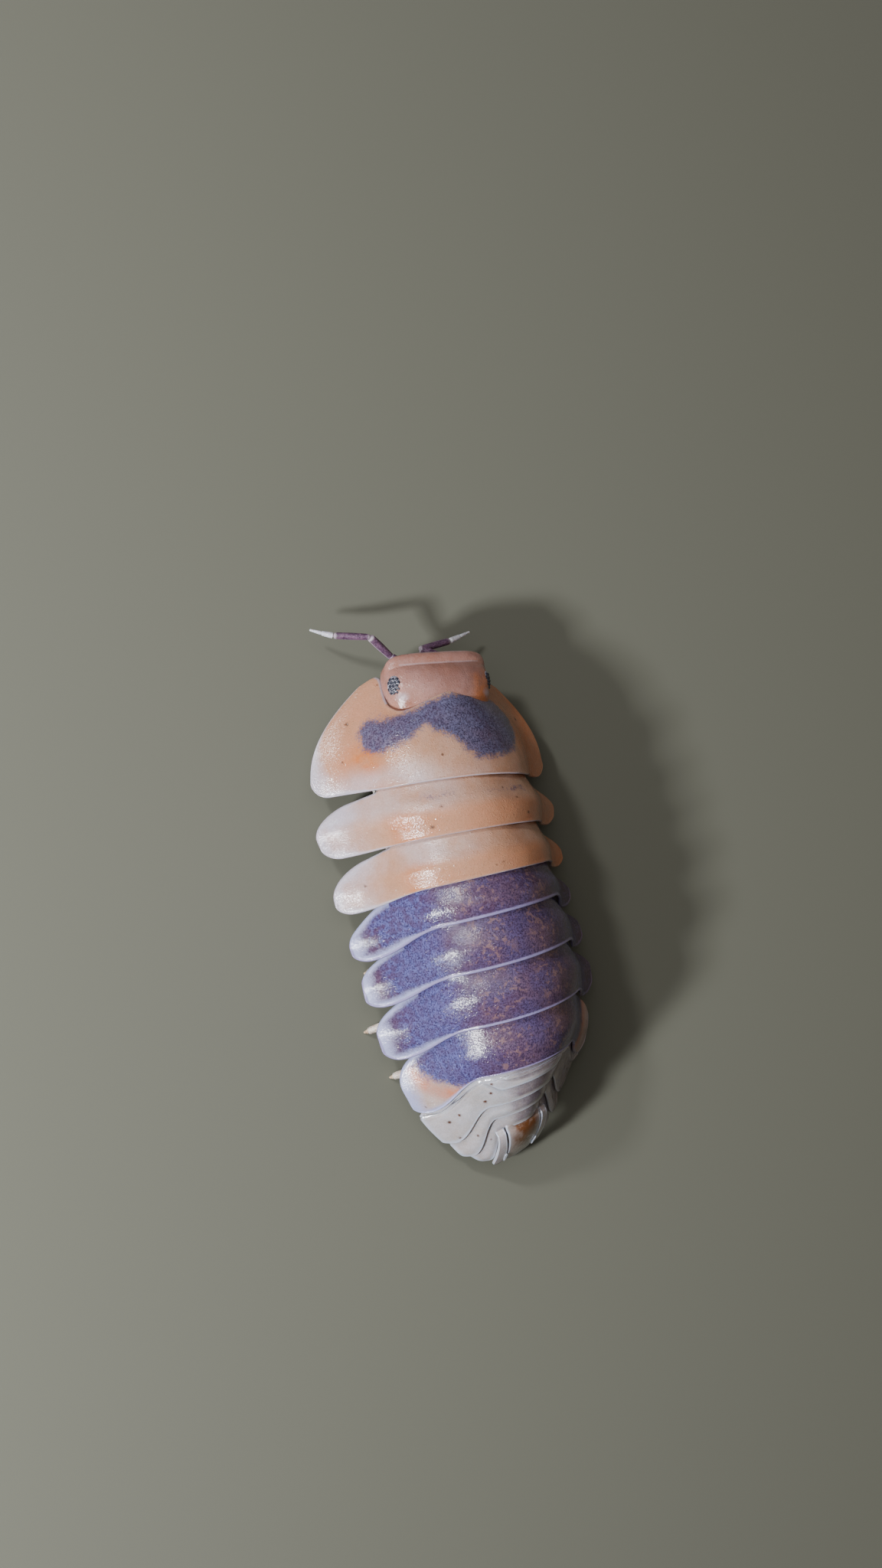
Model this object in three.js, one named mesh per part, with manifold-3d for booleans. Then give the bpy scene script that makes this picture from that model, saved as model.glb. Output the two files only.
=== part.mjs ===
// Pill woodlouse at life size, in millimetres, +Z up, head towards -Y, the animal's left towards +X.
import * as THREE from 'three';
import { mergeVertices } from 'three/addons/utils/BufferGeometryUtils.js';
import Module from 'manifold-3d';

const wasm = await Module();
wasm.setup();

// Driving sizes of the body
const GAP = 0.06;                   // clear space kept between neighbouring pieces
const PLATE_STEP = 0.15;            // how far a plate's front lies below the rim before it
const PLATE_BULGE = 0.05;           // rise of a plate between its margins
const SIDE_PLATE_THICKNESS = 0.38;
const SIDE_PLATE_EDGE = 0.2;
const CENTRE = new THREE.Vector3(-0.183, -0.75, 0);   // middle of the finished body's box

// Cross-section: the slope grows towards the flank, then the side plate flares out again
const FLANK_SLOPE = 68;
const FLANK_PLACE = 0.62;
const FLARE_SLOPE = 42;
const KINK = 0.56;                  // where back and side plate meet, as a share of the half section
const CORE_EDGE = 0.72;             // beyond this share the shell is a thin side plate

// Rear rims, from the front margin of the first segment to the root of the tail plate:
// step back from the rim before, x and height of the midline, heading and tilt in degrees,
// half width, height of the side margin, and how far that margin is swept back
const RIMS = [
  { step: 0, x: -0.72, height: 2.5, heading: -12.5, tilt: 10, half: 1.5, side: 1.28, sweep: -0.86 },
  { step: 2.23, x: -0.32, height: 3.42, heading: -11, tilt: 6, half: 3.42, side: 0.76, sweep: -0.08 },
  { step: 1.38, x: -0.2, height: 3.62, heading: -8, tilt: 4, half: 3.41, side: 0.72, sweep: 0.06 },
  { step: 1.19, x: -0.13, height: 3.71, heading: -5, tilt: 3, half: 3.4, side: 0.72, sweep: 0.22 },
  { step: 1.015, x: -0.12, height: 3.73, heading: -3, tilt: 1, half: 3.3, side: 0.72, sweep: 0.49 },
  { step: 1.325, x: -0.13, height: 3.68, heading: -1.5, tilt: -2, half: 3.32, side: 0.72, sweep: 0.48 },
  { step: 1.44, x: -0.1, height: 3.5, heading: 0, tilt: -5, half: 3.19, side: 0.72, sweep: 0.55 },
  { step: 1.28, x: 0.06, height: 3.14, heading: 2, tilt: -6, half: 2.62, side: 0.68, sweep: 0.78 },
  { step: 0.18, x: 0.16, height: 3.02, heading: 3, tilt: -6, half: 2.44, side: 0.67, sweep: 0.78 },
  { step: 0.25, x: 0.21, height: 2.84, heading: 4, tilt: -6, half: 2.24, side: 0.66, sweep: 0.8 },
  { step: 0.38, x: 0.25, height: 2.54, heading: 6, tilt: -6, half: 1.88, side: 0.64, sweep: 0.85 },
  { step: 0.36, x: 0.25, height: 2.2, heading: 8, tilt: -6, half: 1.46, side: 0.62, sweep: 0.95 },
  { step: 0.36, x: 0.22, height: 1.8, heading: 10, tilt: -6, half: 1, side: 0.6, sweep: 0.85 },
];
const MIDDLE = 5.74;                // from the front margin back to y = 0, before the body is centred
const OPENING = 3.5;                // how soon the first segment opens out to its full width

const radians = THREE.MathUtils.degToRad;
const clamp01 = (x) => Math.min(1, Math.max(0, x));
const smooth = (x) => clamp01(x) ** 2 * (3 - 2 * clamp01(x));
const mix = (a, b, t) => a + (b - a) * t;

// Unit cross-section, sampled once: half width 1 and depth 1 at the side margin
const SECTION_STEPS = 160;
const section = (() => {
  const across = [0];
  const down = [0];
  for (let i = 1; i <= SECTION_STEPS; i += 1) {
    const q = (i - 0.5) / SECTION_STEPS;
    const rise = FLANK_SLOPE * (Math.min(q, FLANK_PLACE) / FLANK_PLACE) ** 0.85;
    const flare = smooth((q - FLANK_PLACE) / (1 - FLANK_PLACE));
    const slope = radians(q < FLANK_PLACE ? rise : mix(FLANK_SLOPE, FLARE_SLOPE, flare));
    across.push(across[i - 1] + Math.cos(slope));
    down.push(down[i - 1] + Math.sin(slope));
  }
  return { across, down };
})();

function sectionAt(q) {
  const place = Math.min(Math.abs(q), 1) * SECTION_STEPS;
  const i = Math.min(Math.floor(place), SECTION_STEPS - 1);
  const t = place - i;
  const across = mix(section.across[i], section.across[i + 1], t) / section.across[SECTION_STEPS];
  const down = mix(section.down[i], section.down[i + 1], t) / section.down[SECTION_STEPS];
  return { across: Math.sign(q) * across, down };
}

// Stand the rims along the bent spine
function placeRims() {
  let y = 0;
  const placed = RIMS.map((rim) => {
    y += rim.step;
    return { ...rim, y };
  });
  return placed.map((rim) => ({ ...rim, y: rim.y - MIDDLE }));
}
const rims = placeRims();
const LAST_RIM = rims.length - 1;

// A smooth value between four evenly spaced ones
function blend(a, b, c, d, t) {
  const first = b + 0.5 * t * (c - a);
  const second = t * t * (a - 2.5 * b + 2 * c - 0.5 * d);
  const third = t * t * t * (1.5 * b - 0.5 * a - 1.5 * c + 0.5 * d);
  return first + second + third;
}

function rimAt(s) {
  const i = Math.min(Math.max(Math.floor(s), 0), LAST_RIM - 1);
  const t = s - i;
  const near = [i - 1, i, i + 1, i + 2].map((k) => rims[Math.min(Math.max(k, 0), LAST_RIM)]);
  const out = {};
  for (const key of ['x', 'y', 'height', 'heading', 'tilt', 'half', 'side', 'sweep']) {
    const before = i === 0 ? 2 * near[1][key] - near[2][key] : near[0][key];
    const after = i === LAST_RIM - 1 ? 2 * near[2][key] - near[1][key] : near[3][key];
    out[key] = blend(before, near[1][key], near[2][key], after, t);
  }
  if (i === 0) {
    // the first segment widens fastest at its front
    for (const key of ['half', 'side', 'sweep']) {
      out[key] = mix(rims[0][key], rims[1][key], 1 - (1 - t) ** OPENING);
    }
  }
  return out;
}

// From a rim's own axes (across to the left, back along the body, up) to the body's frame
function fromRim(rim, across, back, up) {
  const tilt = radians(rim.tilt);
  const heading = radians(rim.heading);
  const y = back * Math.cos(tilt) - up * Math.sin(tilt);
  const z = back * Math.sin(tilt) + up * Math.cos(tilt);
  return new THREE.Vector3(
    rim.x + across * Math.cos(heading) - y * Math.sin(heading),
    rim.y + across * Math.sin(heading) + y * Math.cos(heading),
    rim.height + z,
  );
}

const depthOf = (rim) => (rim.height - rim.side) / Math.cos(radians(rim.tilt));

// A point of the shell's envelope: s counts the rims, q runs from -1 (right) to 1 (left)
function shell(s, q) {
  const rim = rimAt(s);
  const place = sectionAt(q);
  const swept = rim.sweep * smooth((Math.abs(q) - 0.4) / 0.5);
  return fromRim(rim, place.across * rim.half, swept, -place.down * depthOf(rim));
}

function shellNormal(s, q) {
  const step = 0.01;
  const alongS = shell(s + step, q).sub(shell(s - step, q));
  const alongQ = shell(s, Math.min(q + step, 1)).sub(shell(s, Math.max(q - step, -1)));
  return alongQ.cross(alongS).normalize();
}

const sunk = (s, q, depth) => shell(s, q).addScaledVector(shellNormal(s, q), -depth);

// A closed mesh from rings of points, each end closed by a strip across the ring
function meshFromRings(ringList) {
  const points = ringList.flat();
  const count = ringList[0].length;
  const faces = [];
  for (let r = 0; r + 1 < ringList.length; r += 1) {
    for (let k = 0; k < count; k += 1) {
      const a = r * count + k;
      const b = r * count + ((k + 1) % count);
      faces.push([a, b, b + count], [a, b + count, a + count]);
    }
  }
  const last = (ringList.length - 1) * count;
  for (let k = 0; k < count / 2 - 1; k += 1) {
    const far = count - 1 - k;
    faces.push([k, far, far - 1], [k, far - 1, k + 1]);
    faces.push([last + k, last + far - 1, last + far], [last + k, last + k + 1, last + far - 1]);
  }
  return geometryOf(points, faces);
}

function geometryOf(points, faces) {
  let volume = 0;
  for (const [a, b, c] of faces) {
    volume += points[a].dot(points[b].clone().cross(points[c]));
  }
  const turned = volume < 0 ? faces.map(([a, b, c]) => [a, c, b]) : faces;
  const geometry = new THREE.BufferGeometry();
  const positions = points.flatMap((p) => [p.x, p.y, p.z]);
  geometry.setAttribute('position', new THREE.Float32BufferAttribute(positions, 3));
  geometry.setIndex(turned.flat());
  return geometry;
}

// Booleans
function toSolid(source) {
  const bare = source.clone();
  for (const name of ['normal', 'uv']) {
    bare.deleteAttribute(name);
  }
  const merged = mergeVertices(bare, 1e-5);
  const vertProperties = new Float32Array(merged.attributes.position.array);
  const triVerts = new Uint32Array(merged.index.array);
  return new wasm.Manifold(new wasm.Mesh({ numProp: 3, vertProperties, triVerts }));
}

function toGeometry(solid) {
  const parts = solid.decompose();
  parts.sort((a, b) => b.volume() - a.volume());
  const mesh = parts[0].getMesh();
  const geometry = new THREE.BufferGeometry();
  const positions = Array.from(mesh.vertProperties);
  geometry.setAttribute('position', new THREE.Float32BufferAttribute(positions, 3));
  geometry.setIndex(Array.from(mesh.triVerts));
  return geometry;
}

// Columns across a shell plate, right to left
const HALF_COLUMNS = [0.1, 0.22, 0.34, 0.46, 0.54, 0.62, 0.72, 0.82, 0.9, 0.95, 0.98, 1];
const COLUMNS = [...HALF_COLUMNS.map((q) => -q).reverse(), 0, ...HALF_COLUMNS];
const STATIONS = [0, 0.1, 0.3, 0.55, 0.8, 1];

// Underside of the trunk, from the root of a side plate in to the midline: place across and depth
const TRUNK_SIDE = [[1, 0.66, 0.62], [0.8, 0.6, 0.76], [0.62, 0.52, 0.87], [0.4, 0.34, 0.9], [0, 0, 0.9]];

function trunkPoint(s, q) {
  const share = Math.abs(q) / CORE_EDGE;
  let i = 0;
  while (share < TRUNK_SIDE[i + 1][0]) {
    i += 1;
  }
  const [from, acrossFrom, downFrom] = TRUNK_SIDE[i];
  const [to, acrossTo, downTo] = TRUNK_SIDE[i + 1];
  const t = (share - from) / (to - from);
  const rim = rimAt(s);
  const across = Math.sign(q) * mix(acrossFrom, acrossTo, t) * rim.half;
  return fromRim(rim, across, 0, -mix(downFrom, downTo, t) * depthOf(rim));
}

// One shell segment with the trunk below it, between two margins given as functions of q
function segment(margins, cutter = 0, share = 1) {
  const ringList = STATIONS.map((t) => {
    const upper = COLUMNS.map((c) => {
      const s = mix(margins.front(c), margins.rear(c), t);
      return sunk(s, c * share, margins.depth(t) - cutter);
    });
    const lower = COLUMNS.map((c) => {
      const s = mix(margins.front(c), margins.rear(c), t);
      const q = c * share;
      if (Math.abs(q) < CORE_EDGE) {
        return trunkPoint(s, q);
      }
      const edge = (Math.abs(q) - CORE_EDGE) / (1 - CORE_EDGE);
      const thickness = mix(SIDE_PLATE_THICKNESS, SIDE_PLATE_EDGE, edge);
      return sunk(s, q, margins.depth(t) + thickness + cutter);
    });
    return [...upper, ...lower.reverse()];
  });
  return meshFromRings(ringList);
}

const stepLength = (i) => Math.hypot(rims[i].y - rims[i - 1].y, rims[i].height - rims[i - 1].height);
const plateDepth = (t) => PLATE_STEP * (1 - smooth(t / 0.7)) - PLATE_BULGE * Math.sin(Math.PI * t);

// Rounds a side plate's corners: share of its length taken off at each end
const cornerAt = (q, start) => 1 - Math.sqrt(1 - clamp01((Math.abs(q) - start) / (1 - start)) ** 2 * 0.96);

// How far each segment's side plate stands back from the rim before it, as a share of the step
const FRONT_CORNER = 0.52;
const FRONT_START = 0.8;
const REAR_CORNER = 0.25;
const REAR_START = 0.9;
const NOTCH = [0, 0, 0.16, 0.2, 0.19, 0, 0.05, 0.02];

function trunkMargins(i) {
  const gap = GAP / stepLength(i);
  const notchAt = (q) => NOTCH[i] * smooth((Math.abs(q) - KINK) / (1 - KINK));
  return {
    front: (q) => i - 1 + gap + notchAt(q) + FRONT_CORNER * cornerAt(q, FRONT_START),
    rear: (q) => i - REAR_CORNER * cornerAt(q, REAR_START),
    depth: (t) => plateDepth(t),
  };
}

// First segment: its front margin curves round the head and ends in a lobe on each side
const BAY = [
  [-1, 0.1], [-0.74, 0.05], [-0.58, 0.095], [-0.34, 0.01], [0, 0],
  [0.22, 0.07], [0.4, 0.155], [0.58, 0.128], [0.82, 0.03], [1, 0.06],
];
function bayAt(q) {
  let i = 0;
  while (i + 2 < BAY.length && q > BAY[i + 1][0]) {
    i += 1;
  }
  const [from, first] = BAY[i];
  const [to, second] = BAY[i + 1];
  return mix(first, second, clamp01((q - from) / (to - from)));
}
const firstMargins = {
  front: bayAt,
  rear: (q) => 1 - REAR_CORNER * cornerAt(q, REAR_START),
  depth: (t) => 0.02 - PLATE_BULGE * Math.sin(Math.PI * t),
};

const pieces = [];
function piece(name, geometry, color, roughness = 0.5) {
  const material = new THREE.MeshStandardMaterial({ color, roughness, metalness: 0 });
  const mesh = new THREE.Mesh(geometry, material);
  mesh.name = name;
  pieces.push(mesh);
}

const ORANGE = 0xd09a78;
const PEACH = 0xdcb79a;
const PURPLE = 0x4c4366;
const CREAM = 0xd8cdc2;
const FEELER = 0x5b4a5c;
const LEG = 0xcfc0b0;
const EYE = 0x1d1c22;
const SIDES = [['left', 1], ['right', -1]];

// Trunk segments
const TRUNK_COUNT = 7;
const TRUNK_COLORS = [PEACH, PEACH, PEACH, PURPLE, PURPLE, PURPLE, PURPLE];
const marginsOf = (i) => (i === 1 ? firstMargins : trunkMargins(i));
for (let i = 1; i <= TRUNK_COUNT; i += 1) {
  piece(`pereonite_${i}`, segment(marginsOf(i)), TRUNK_COLORS[i - 1]);
}

// Tail segments: the first two are plain bands between the side plates of their neighbours
const TAIL_COUNT = 5;
const BAND_SHARE = [0.49, 0.44];    // how far each plain band reaches down the section
const REACH_COLUMNS = [0.53, 0.62, 0.72, 0.82, 0.9, 0.96, 1];
const TAIL_GAP = 2 * GAP;           // wider, because these plates lean back
const SIDE_GAP = 3 * GAP;           // and wider still beside the bands, where they lean back most
const TAIL_CORNER = 0.14;
function tailMargins(k) {
  const i = TRUNK_COUNT + k;
  const gap = TAIL_GAP / stepLength(i);
  const margins = {
    front: (q) => i - 1 + gap + TAIL_CORNER * cornerAt(q, 0.85),
    rear: (q) => i - 2 * TAIL_CORNER * cornerAt(q, 0.85),
    depth: (t) => 0.7 * PLATE_STEP * (1 - smooth(t / 0.7)),
  };
  return margins;
}

function band(margins, share) {
  const narrow = (f) => (q) => f(q * share);
  return segment({ ...margins, front: narrow(margins.front), rear: narrow(margins.rear) }, 0, share);
}

// Beside the bands the third plate reaches forward to the last trunk segment
function sideReach(side) {
  const front = TRUNK_COUNT + SIDE_GAP / stepLength(TRUNK_COUNT + 1);
  const rear = TRUNK_COUNT + 3;
  const ringList = STATIONS.map((t) => {
    const at = (q) => mix(front + TAIL_CORNER * cornerAt(q, 0.85), rear - 2 * TAIL_CORNER * cornerAt(q, 0.85), t);
    const depth = 0.7 * PLATE_STEP * (1 - smooth(t / 0.3));
    const upper = REACH_COLUMNS.map((q) => sunk(at(q), side * q, depth));
    const lower = REACH_COLUMNS.map((q) => sunk(at(q), side * q, depth + mix(SIDE_PLATE_THICKNESS, SIDE_PLATE_EDGE, q)));
    return [...upper, ...lower.reverse()];
  });
  return meshFromRings(ringList);
}

for (let k = 1; k <= TAIL_COUNT; k += 1) {
  const margins = tailMargins(k);
  let geometry = k < 3 ? band(margins, BAND_SHARE[k - 1]) : segment(margins);
  if (k === 3) {
    geometry = toGeometry(toSolid(geometry).add(toSolid(sideReach(1))).add(toSolid(sideReach(-1))));
  }
  piece(`pleonite_${k}`, geometry, CREAM);
}

// A plate between a root and an end: stations run back, columns run from right to left
function slab(stations, columns, topAt, thicknessAt) {
  const DOWN = new THREE.Vector3(0, 0, -1);
  const ringList = stations.map((t) => {
    const upper = columns.map((c) => topAt(t, c));
    const lower = columns.map((c) => topAt(t, c).addScaledVector(DOWN, thicknessAt(t, c)));
    return [...upper, ...lower.reverse()];
  });
  return meshFromRings(ringList);
}

// A jointed limb: each article is the hull of a small ball at its root and a larger one at its end
const BALL_SIDES = 7;
const BALL_RINGS = 4;
const ARTICLE_WAIST = 0.82;         // radius at an article's root, as a share of that at its end

function ball(centre, radius) {
  const geometry = new THREE.SphereGeometry(radius, BALL_SIDES, BALL_RINGS);
  geometry.rotateX(Math.PI / 2);
  geometry.translate(centre.x, centre.y, centre.z);
  return toSolid(geometry);
}

function limb(points, radii) {
  let solid = null;
  for (let k = 0; k + 1 < points.length; k += 1) {
    const root = ball(points[k], radii[k] * (k === 0 ? 1 : ARTICLE_WAIST));
    const end = ball(points[k + 1], radii[k + 1]);
    const article = wasm.Manifold.hull([root, end]);
    solid = solid ? solid.add(article) : article;
  }
  return solid;
}

// Head, in its own axes: across to the left, forward, and height above the floor
const HEAD_PLACE = { x: -0.77, y: -5.75, heading: -12.5 };
const HEAD_HALF = 1.46;
const HEAD_DROP = 0.2;              // how far the crown falls from the middle to the sides
const HEAD_POLE = { forward: 0.3, height: 1.62 };
const HEAD_LOOP = [
  [-0.3, 2.5], [0.05, 2.48], [0.36, 2.38], [0.62, 2.22], [0.8, 2.06], [0.88, 2.06], [0.98, 2.02], [1.02, 1.92],
  [0.96, 1.74], [0.84, 1.46], [0.72, 1.15], [0.58, 0.95], [0.3, 0.86], [-0.1, 0.9], [-0.45, 1.3], [-0.5, 2.0],
];
const HEAD_COLUMNS = [0, 0.22, 0.44, 0.63, 0.78, 0.88, 0.95, 0.985];
const HEAD_ROUNDING = 4.8;          // the head is squarer seen from above than from in front
const CROWN_ROUNDING = 2.7;

function headPoint(across, forward, height) {
  const { x, y, heading: turn } = HEAD_PLACE;
  const heading = radians(turn);
  return new THREE.Vector3(
    x + across * Math.cos(heading) + forward * Math.sin(heading),
    y + across * Math.sin(heading) - forward * Math.cos(heading),
    height,
  );
}

function headGeometry(grow = 0) {
  const columns = [...HEAD_COLUMNS.slice(1).map((c) => -c).reverse(), ...HEAD_COLUMNS];
  const points = [];
  for (const c of columns) {
    const outline = (1 - Math.abs(c) ** HEAD_ROUNDING) ** (1 / HEAD_ROUNDING);
    const crown = (1 - Math.abs(c) ** CROWN_ROUNDING) ** (1 / CROWN_ROUNDING);
    for (const [forward, height] of HEAD_LOOP) {
      const away = new THREE.Vector2(forward - HEAD_POLE.forward, height - HEAD_POLE.height);
      away.multiply(new THREE.Vector2(outline, crown));
      away.setLength(away.length() + grow);
      const reach = HEAD_HALF * c * (1 + grow / HEAD_HALF);
      const drop = HEAD_DROP * c * c * clamp01(away.y);
      points.push(headPoint(reach, HEAD_POLE.forward + away.x, HEAD_POLE.height + away.y - drop));
    }
  }
  const count = HEAD_LOOP.length;
  const faces = [];
  for (let r = 0; r + 1 < columns.length; r += 1) {
    for (let k = 0; k < count; k += 1) {
      const a = r * count + k;
      const b = r * count + ((k + 1) % count);
      faces.push([a, b, b + count], [a, b + count, a + count]);
    }
  }
  const poles = [-1, 1].map((side) => {
    points.push(headPoint(side * (HEAD_HALF + grow), HEAD_POLE.forward, HEAD_POLE.height));
    return points.length - 1;
  });
  const last = (columns.length - 1) * count;
  for (let k = 0; k < count; k += 1) {
    const next = (k + 1) % count;
    faces.push([poles[0], next, k], [poles[1], last + k, last + next]);
  }
  return geometryOf(points, faces);
}

// Eye: a low oval cushion of facets on the upper corner of the head
const EYE_PLACE = { across: 1.345, forward: 0.185, height: 1.975 };
const EYE_SIZE = new THREE.Vector3(0.215, 0.29, 0.16);
const EYE_TURN = radians(50);

function eyeGeometry(side, grow = 0) {
  const geometry = new THREE.SphereGeometry(1, 14, 8);
  geometry.scale(EYE_SIZE.x + grow, EYE_SIZE.y + grow, EYE_SIZE.z + grow);
  geometry.rotateY(side * EYE_TURN);
  geometry.rotateZ(radians(HEAD_PLACE.heading));
  const place = headPoint(side * EYE_PLACE.across, EYE_PLACE.forward, EYE_PLACE.height);
  geometry.translate(place.x, place.y, place.z);
  return geometry;
}

const firstGrown = {
  ...firstMargins,
  front: (q) => firstMargins.front(q) - 1.5 * GAP / stepLength(1),
};
let head = toSolid(headGeometry()).subtract(toSolid(segment(firstGrown, GAP)));
for (const [, side] of SIDES) {
  head = head.subtract(toSolid(eyeGeometry(side, GAP / 2)));
}
piece('head', toGeometry(head), ORANGE, 0.45);
for (const [name, side] of SIDES) {
  piece(`eye_${name}`, bareGeometry(eyeGeometry(side)), EYE, 0.2);
}

function bareGeometry(source) {
  return toGeometry(toSolid(source));
}

// Feelers: peduncle and two-jointed flagellum, in the head's axes
const FEELERS = {
  left: [[0.7, 0.75, 1.2], [0.94, 1.0, 1.12], [1.62, 1.53, 1.35], [2.49, 1.64, 1.0], [2.98, 1.82, 0.75]],
  right: [[-0.72, 0.7, 1.2], [-0.55, 1.0, 1.05], [-0.05, 1.15, 0.9], [-0.92, 1.36, 0.82], [-1.66, 1.58, 0.62]],
};
const FEELER_RADII = [0.24, 0.25, 0.25, 0.22, 0.07];
const grownHead = toSolid(headGeometry(GAP));
for (const [name] of SIDES) {
  const points = FEELERS[name].map((p) => headPoint(...p));
  const solid = limb(points, FEELER_RADII).subtract(grownHead);
  piece(`antenna_${name}`, toGeometry(solid), FEELER);
}

// Mouthparts: the jaw-feet, a pair of leaves that close the underside of the head
const MOUTH_HALF = 0.42;
function jawFoot(side) {
  const leaf = new THREE.SphereGeometry(1, 12, 8);
  leaf.scale(MOUTH_HALF, 0.55, 0.3);
  leaf.rotateY(side * 0.35);
  leaf.rotateZ(radians(HEAD_PLACE.heading) + side * 0.3);
  const place = headPoint(side * 0.8 * MOUTH_HALF, 0.28, 0.86);
  leaf.translate(place.x, place.y, place.z);
  return toSolid(leaf);
}
piece('mouthparts', toGeometry(jawFoot(1).add(jawFoot(-1)).subtract(grownHead)), LEG);

// Legs: across as shares of the half width, feet at their own reach and swing back along the body
const LEG_RADII = [0.25, 0.25, 0.27, 0.26, 0.24, 0.13];
const ROOT_GAP = 0.31;               // from the belly down to the middle of a leg's first joint
const KNEE_HEIGHT = 0.78;
const SHIN_HEIGHT = 0.44;
const LEG_REACH = {
  left: [0.8, 0.82, 0.76, 0.82, 0.84, 0.99, 0.97],
  right: [0.84, 0.84, 0.84, 0.84, 0.84, 0.86, 0.86],
};
const LEG_SWING = {
  left: [-0.1, 0.25, 0.2, 0.3, 0.23, 0.36, 0.25],
  right: [0.2, -0.2, 0.25, -0.1, 0.3, 0.05, 0.35],
};
const floorCut = new THREE.BoxGeometry(40, 40, 10);
floorCut.translate(0, 0, -5);
const belowFloor = toSolid(floorCut);

function legGeometry(i, name, side) {
  const s = i === 1 ? 0.62 : i - 0.5;
  const rim = rimAt(s);
  const heading = radians(rim.heading);
  const belly = trunkPoint(s, side * 0.5 * CORE_EDGE);
  const inward = -side * rim.half;
  const out = (share, back, height) => new THREE.Vector3(
    belly.x - inward * share * Math.cos(heading) - back * Math.sin(heading),
    belly.y - inward * share * Math.sin(heading) + back * Math.cos(heading),
    height,
  );
  const root = 0.42;
  const reach = LEG_REACH[name][i - 1] - root;
  const swing = LEG_SWING[name][i - 1];
  const points = [
    out(0, 0, belly.z - ROOT_GAP),
    out(0.06, 0.1 * swing, belly.z - ROOT_GAP - 0.02),
    out(0.2, 0.3 * swing, KNEE_HEIGHT),
    out(mix(0.2, reach, 0.36), 0.55 * swing, mix(KNEE_HEIGHT, SHIN_HEIGHT, 0.6)),
    out(mix(0.2, reach, 0.7), 0.85 * swing, mix(KNEE_HEIGHT, SHIN_HEIGHT, 1.15)),
    out(reach, swing, -0.06),
  ];
  return toGeometry(limb(points, LEG_RADII).subtract(belowFloor));
}

for (const [name, side] of SIDES) {
  for (let i = 1; i <= TRUNK_COUNT; i += 1) {
    piece(`leg_${name}_${i}`, legGeometry(i, name, side), LEG);
  }
}

// Tail plate and tail feet
const TAIL_END = { x: 0.14, y: 6.58, height: 0.62, heading: 11 };
const TELSON_STATIONS = [0, 0.15, 0.35, 0.55, 0.75, 0.92, 1];
const TELSON_COLUMNS = [-1, -0.6, -0.2, 0.2, 0.6, 1];
const telsonHalf = (t) => mix(0.56, 0.44, smooth(t)) * (t > 0.95 ? 0.9 : 1);

function telsonPoint(t, across) {
  const root = rims[LAST_RIM];
  const heading = radians(mix(root.heading, TAIL_END.heading, t));
  const y = mix(root.y + GAP, TAIL_END.y, t);
  const drop = t ** 1.6;
  const height = mix(root.height - 0.1, TAIL_END.height, drop) - 0.3 * across ** 2;
  return new THREE.Vector3(
    mix(root.x, TAIL_END.x, t) + across * Math.cos(heading),
    y + across * Math.sin(heading),
    height,
  );
}

function telsonGeometry(grow = 0) {
  return slab(
    TELSON_STATIONS,
    TELSON_COLUMNS,
    (t, c) => telsonPoint(t * (1 + grow), c * (telsonHalf(t) + grow)).add(new THREE.Vector3(0, 0, grow)),
    () => 0.3 + 2 * grow,
  );
}
piece('telson', telsonGeometry(), CREAM);

const lastTail = toSolid(segment(tailMargins(TAIL_COUNT), GAP));
const grownTelson = toSolid(telsonGeometry(GAP));
function uropodGeometry(side) {
  const base = slab(
    [0.06, 0.2, 0.4, 0.6, 0.8, 0.96, 1.03],
    [0, 0.5, 1],
    (t, c) => {
      const outer = mix(0.84, 0.8, t) * (t > 0.99 ? 0.92 : 1);
      return telsonPoint(t, side * mix(telsonHalf(t) + GAP, outer, c)).add(new THREE.Vector3(0, 0, 0.05));
    },
    () => 0.25,
  );
  return toGeometry(toSolid(base).subtract(lastTail).subtract(grownTelson));
}
for (const [name, side] of SIDES) {
  piece(`uropod_${name}`, uropodGeometry(side), CREAM);
}

// Gill flaps under the tail, in five pairs that lie over one another like shingles
const FLAP_STEP = 0.36;
const FLAP_LENGTH = 0.5;
const FLAP_SLOPE = 0.75;
const FLAP_HEIGHT = 0.76;
for (const [name, side] of SIDES) {
  for (let k = 1; k <= TAIL_COUNT; k += 1) {
    const y = 4.25 + FLAP_STEP * (k - 1);
    const width = mix(1.0, 0.42, (k - 1) / (TAIL_COUNT - 1));
    const geometry = slab(
      [0, 0.5, 0.85, 1],
      [0, 0.5, 1],
      (t, c) => new THREE.Vector3(
        0.18 + side * mix(0.05, 0.05 + width * (1 - 0.25 * t ** 3), c),
        y + t * FLAP_LENGTH,
        FLAP_HEIGHT - t * FLAP_LENGTH * FLAP_SLOPE,
      ),
      () => 0.16,
    );
    piece(`pleopod_${name}_${k}`, geometry, CREAM);
  }
}

const woodlouse = new THREE.Group();
for (const mesh of pieces) {
  mesh.geometry.translate(-CENTRE.x, -CENTRE.y, 0);
  woodlouse.add(mesh);
}

export default woodlouse;
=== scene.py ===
"""A pill woodlouse: jointed shell, head with eyes and feelers, legs, tail plates and gill flaps.

All sizes in the helpers are millimetres in the body's own frame; pieces are moved to the frame's
metres when they are made.
"""
import math

import bpy
import numpy as np
from mathutils import Matrix, Vector


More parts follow.
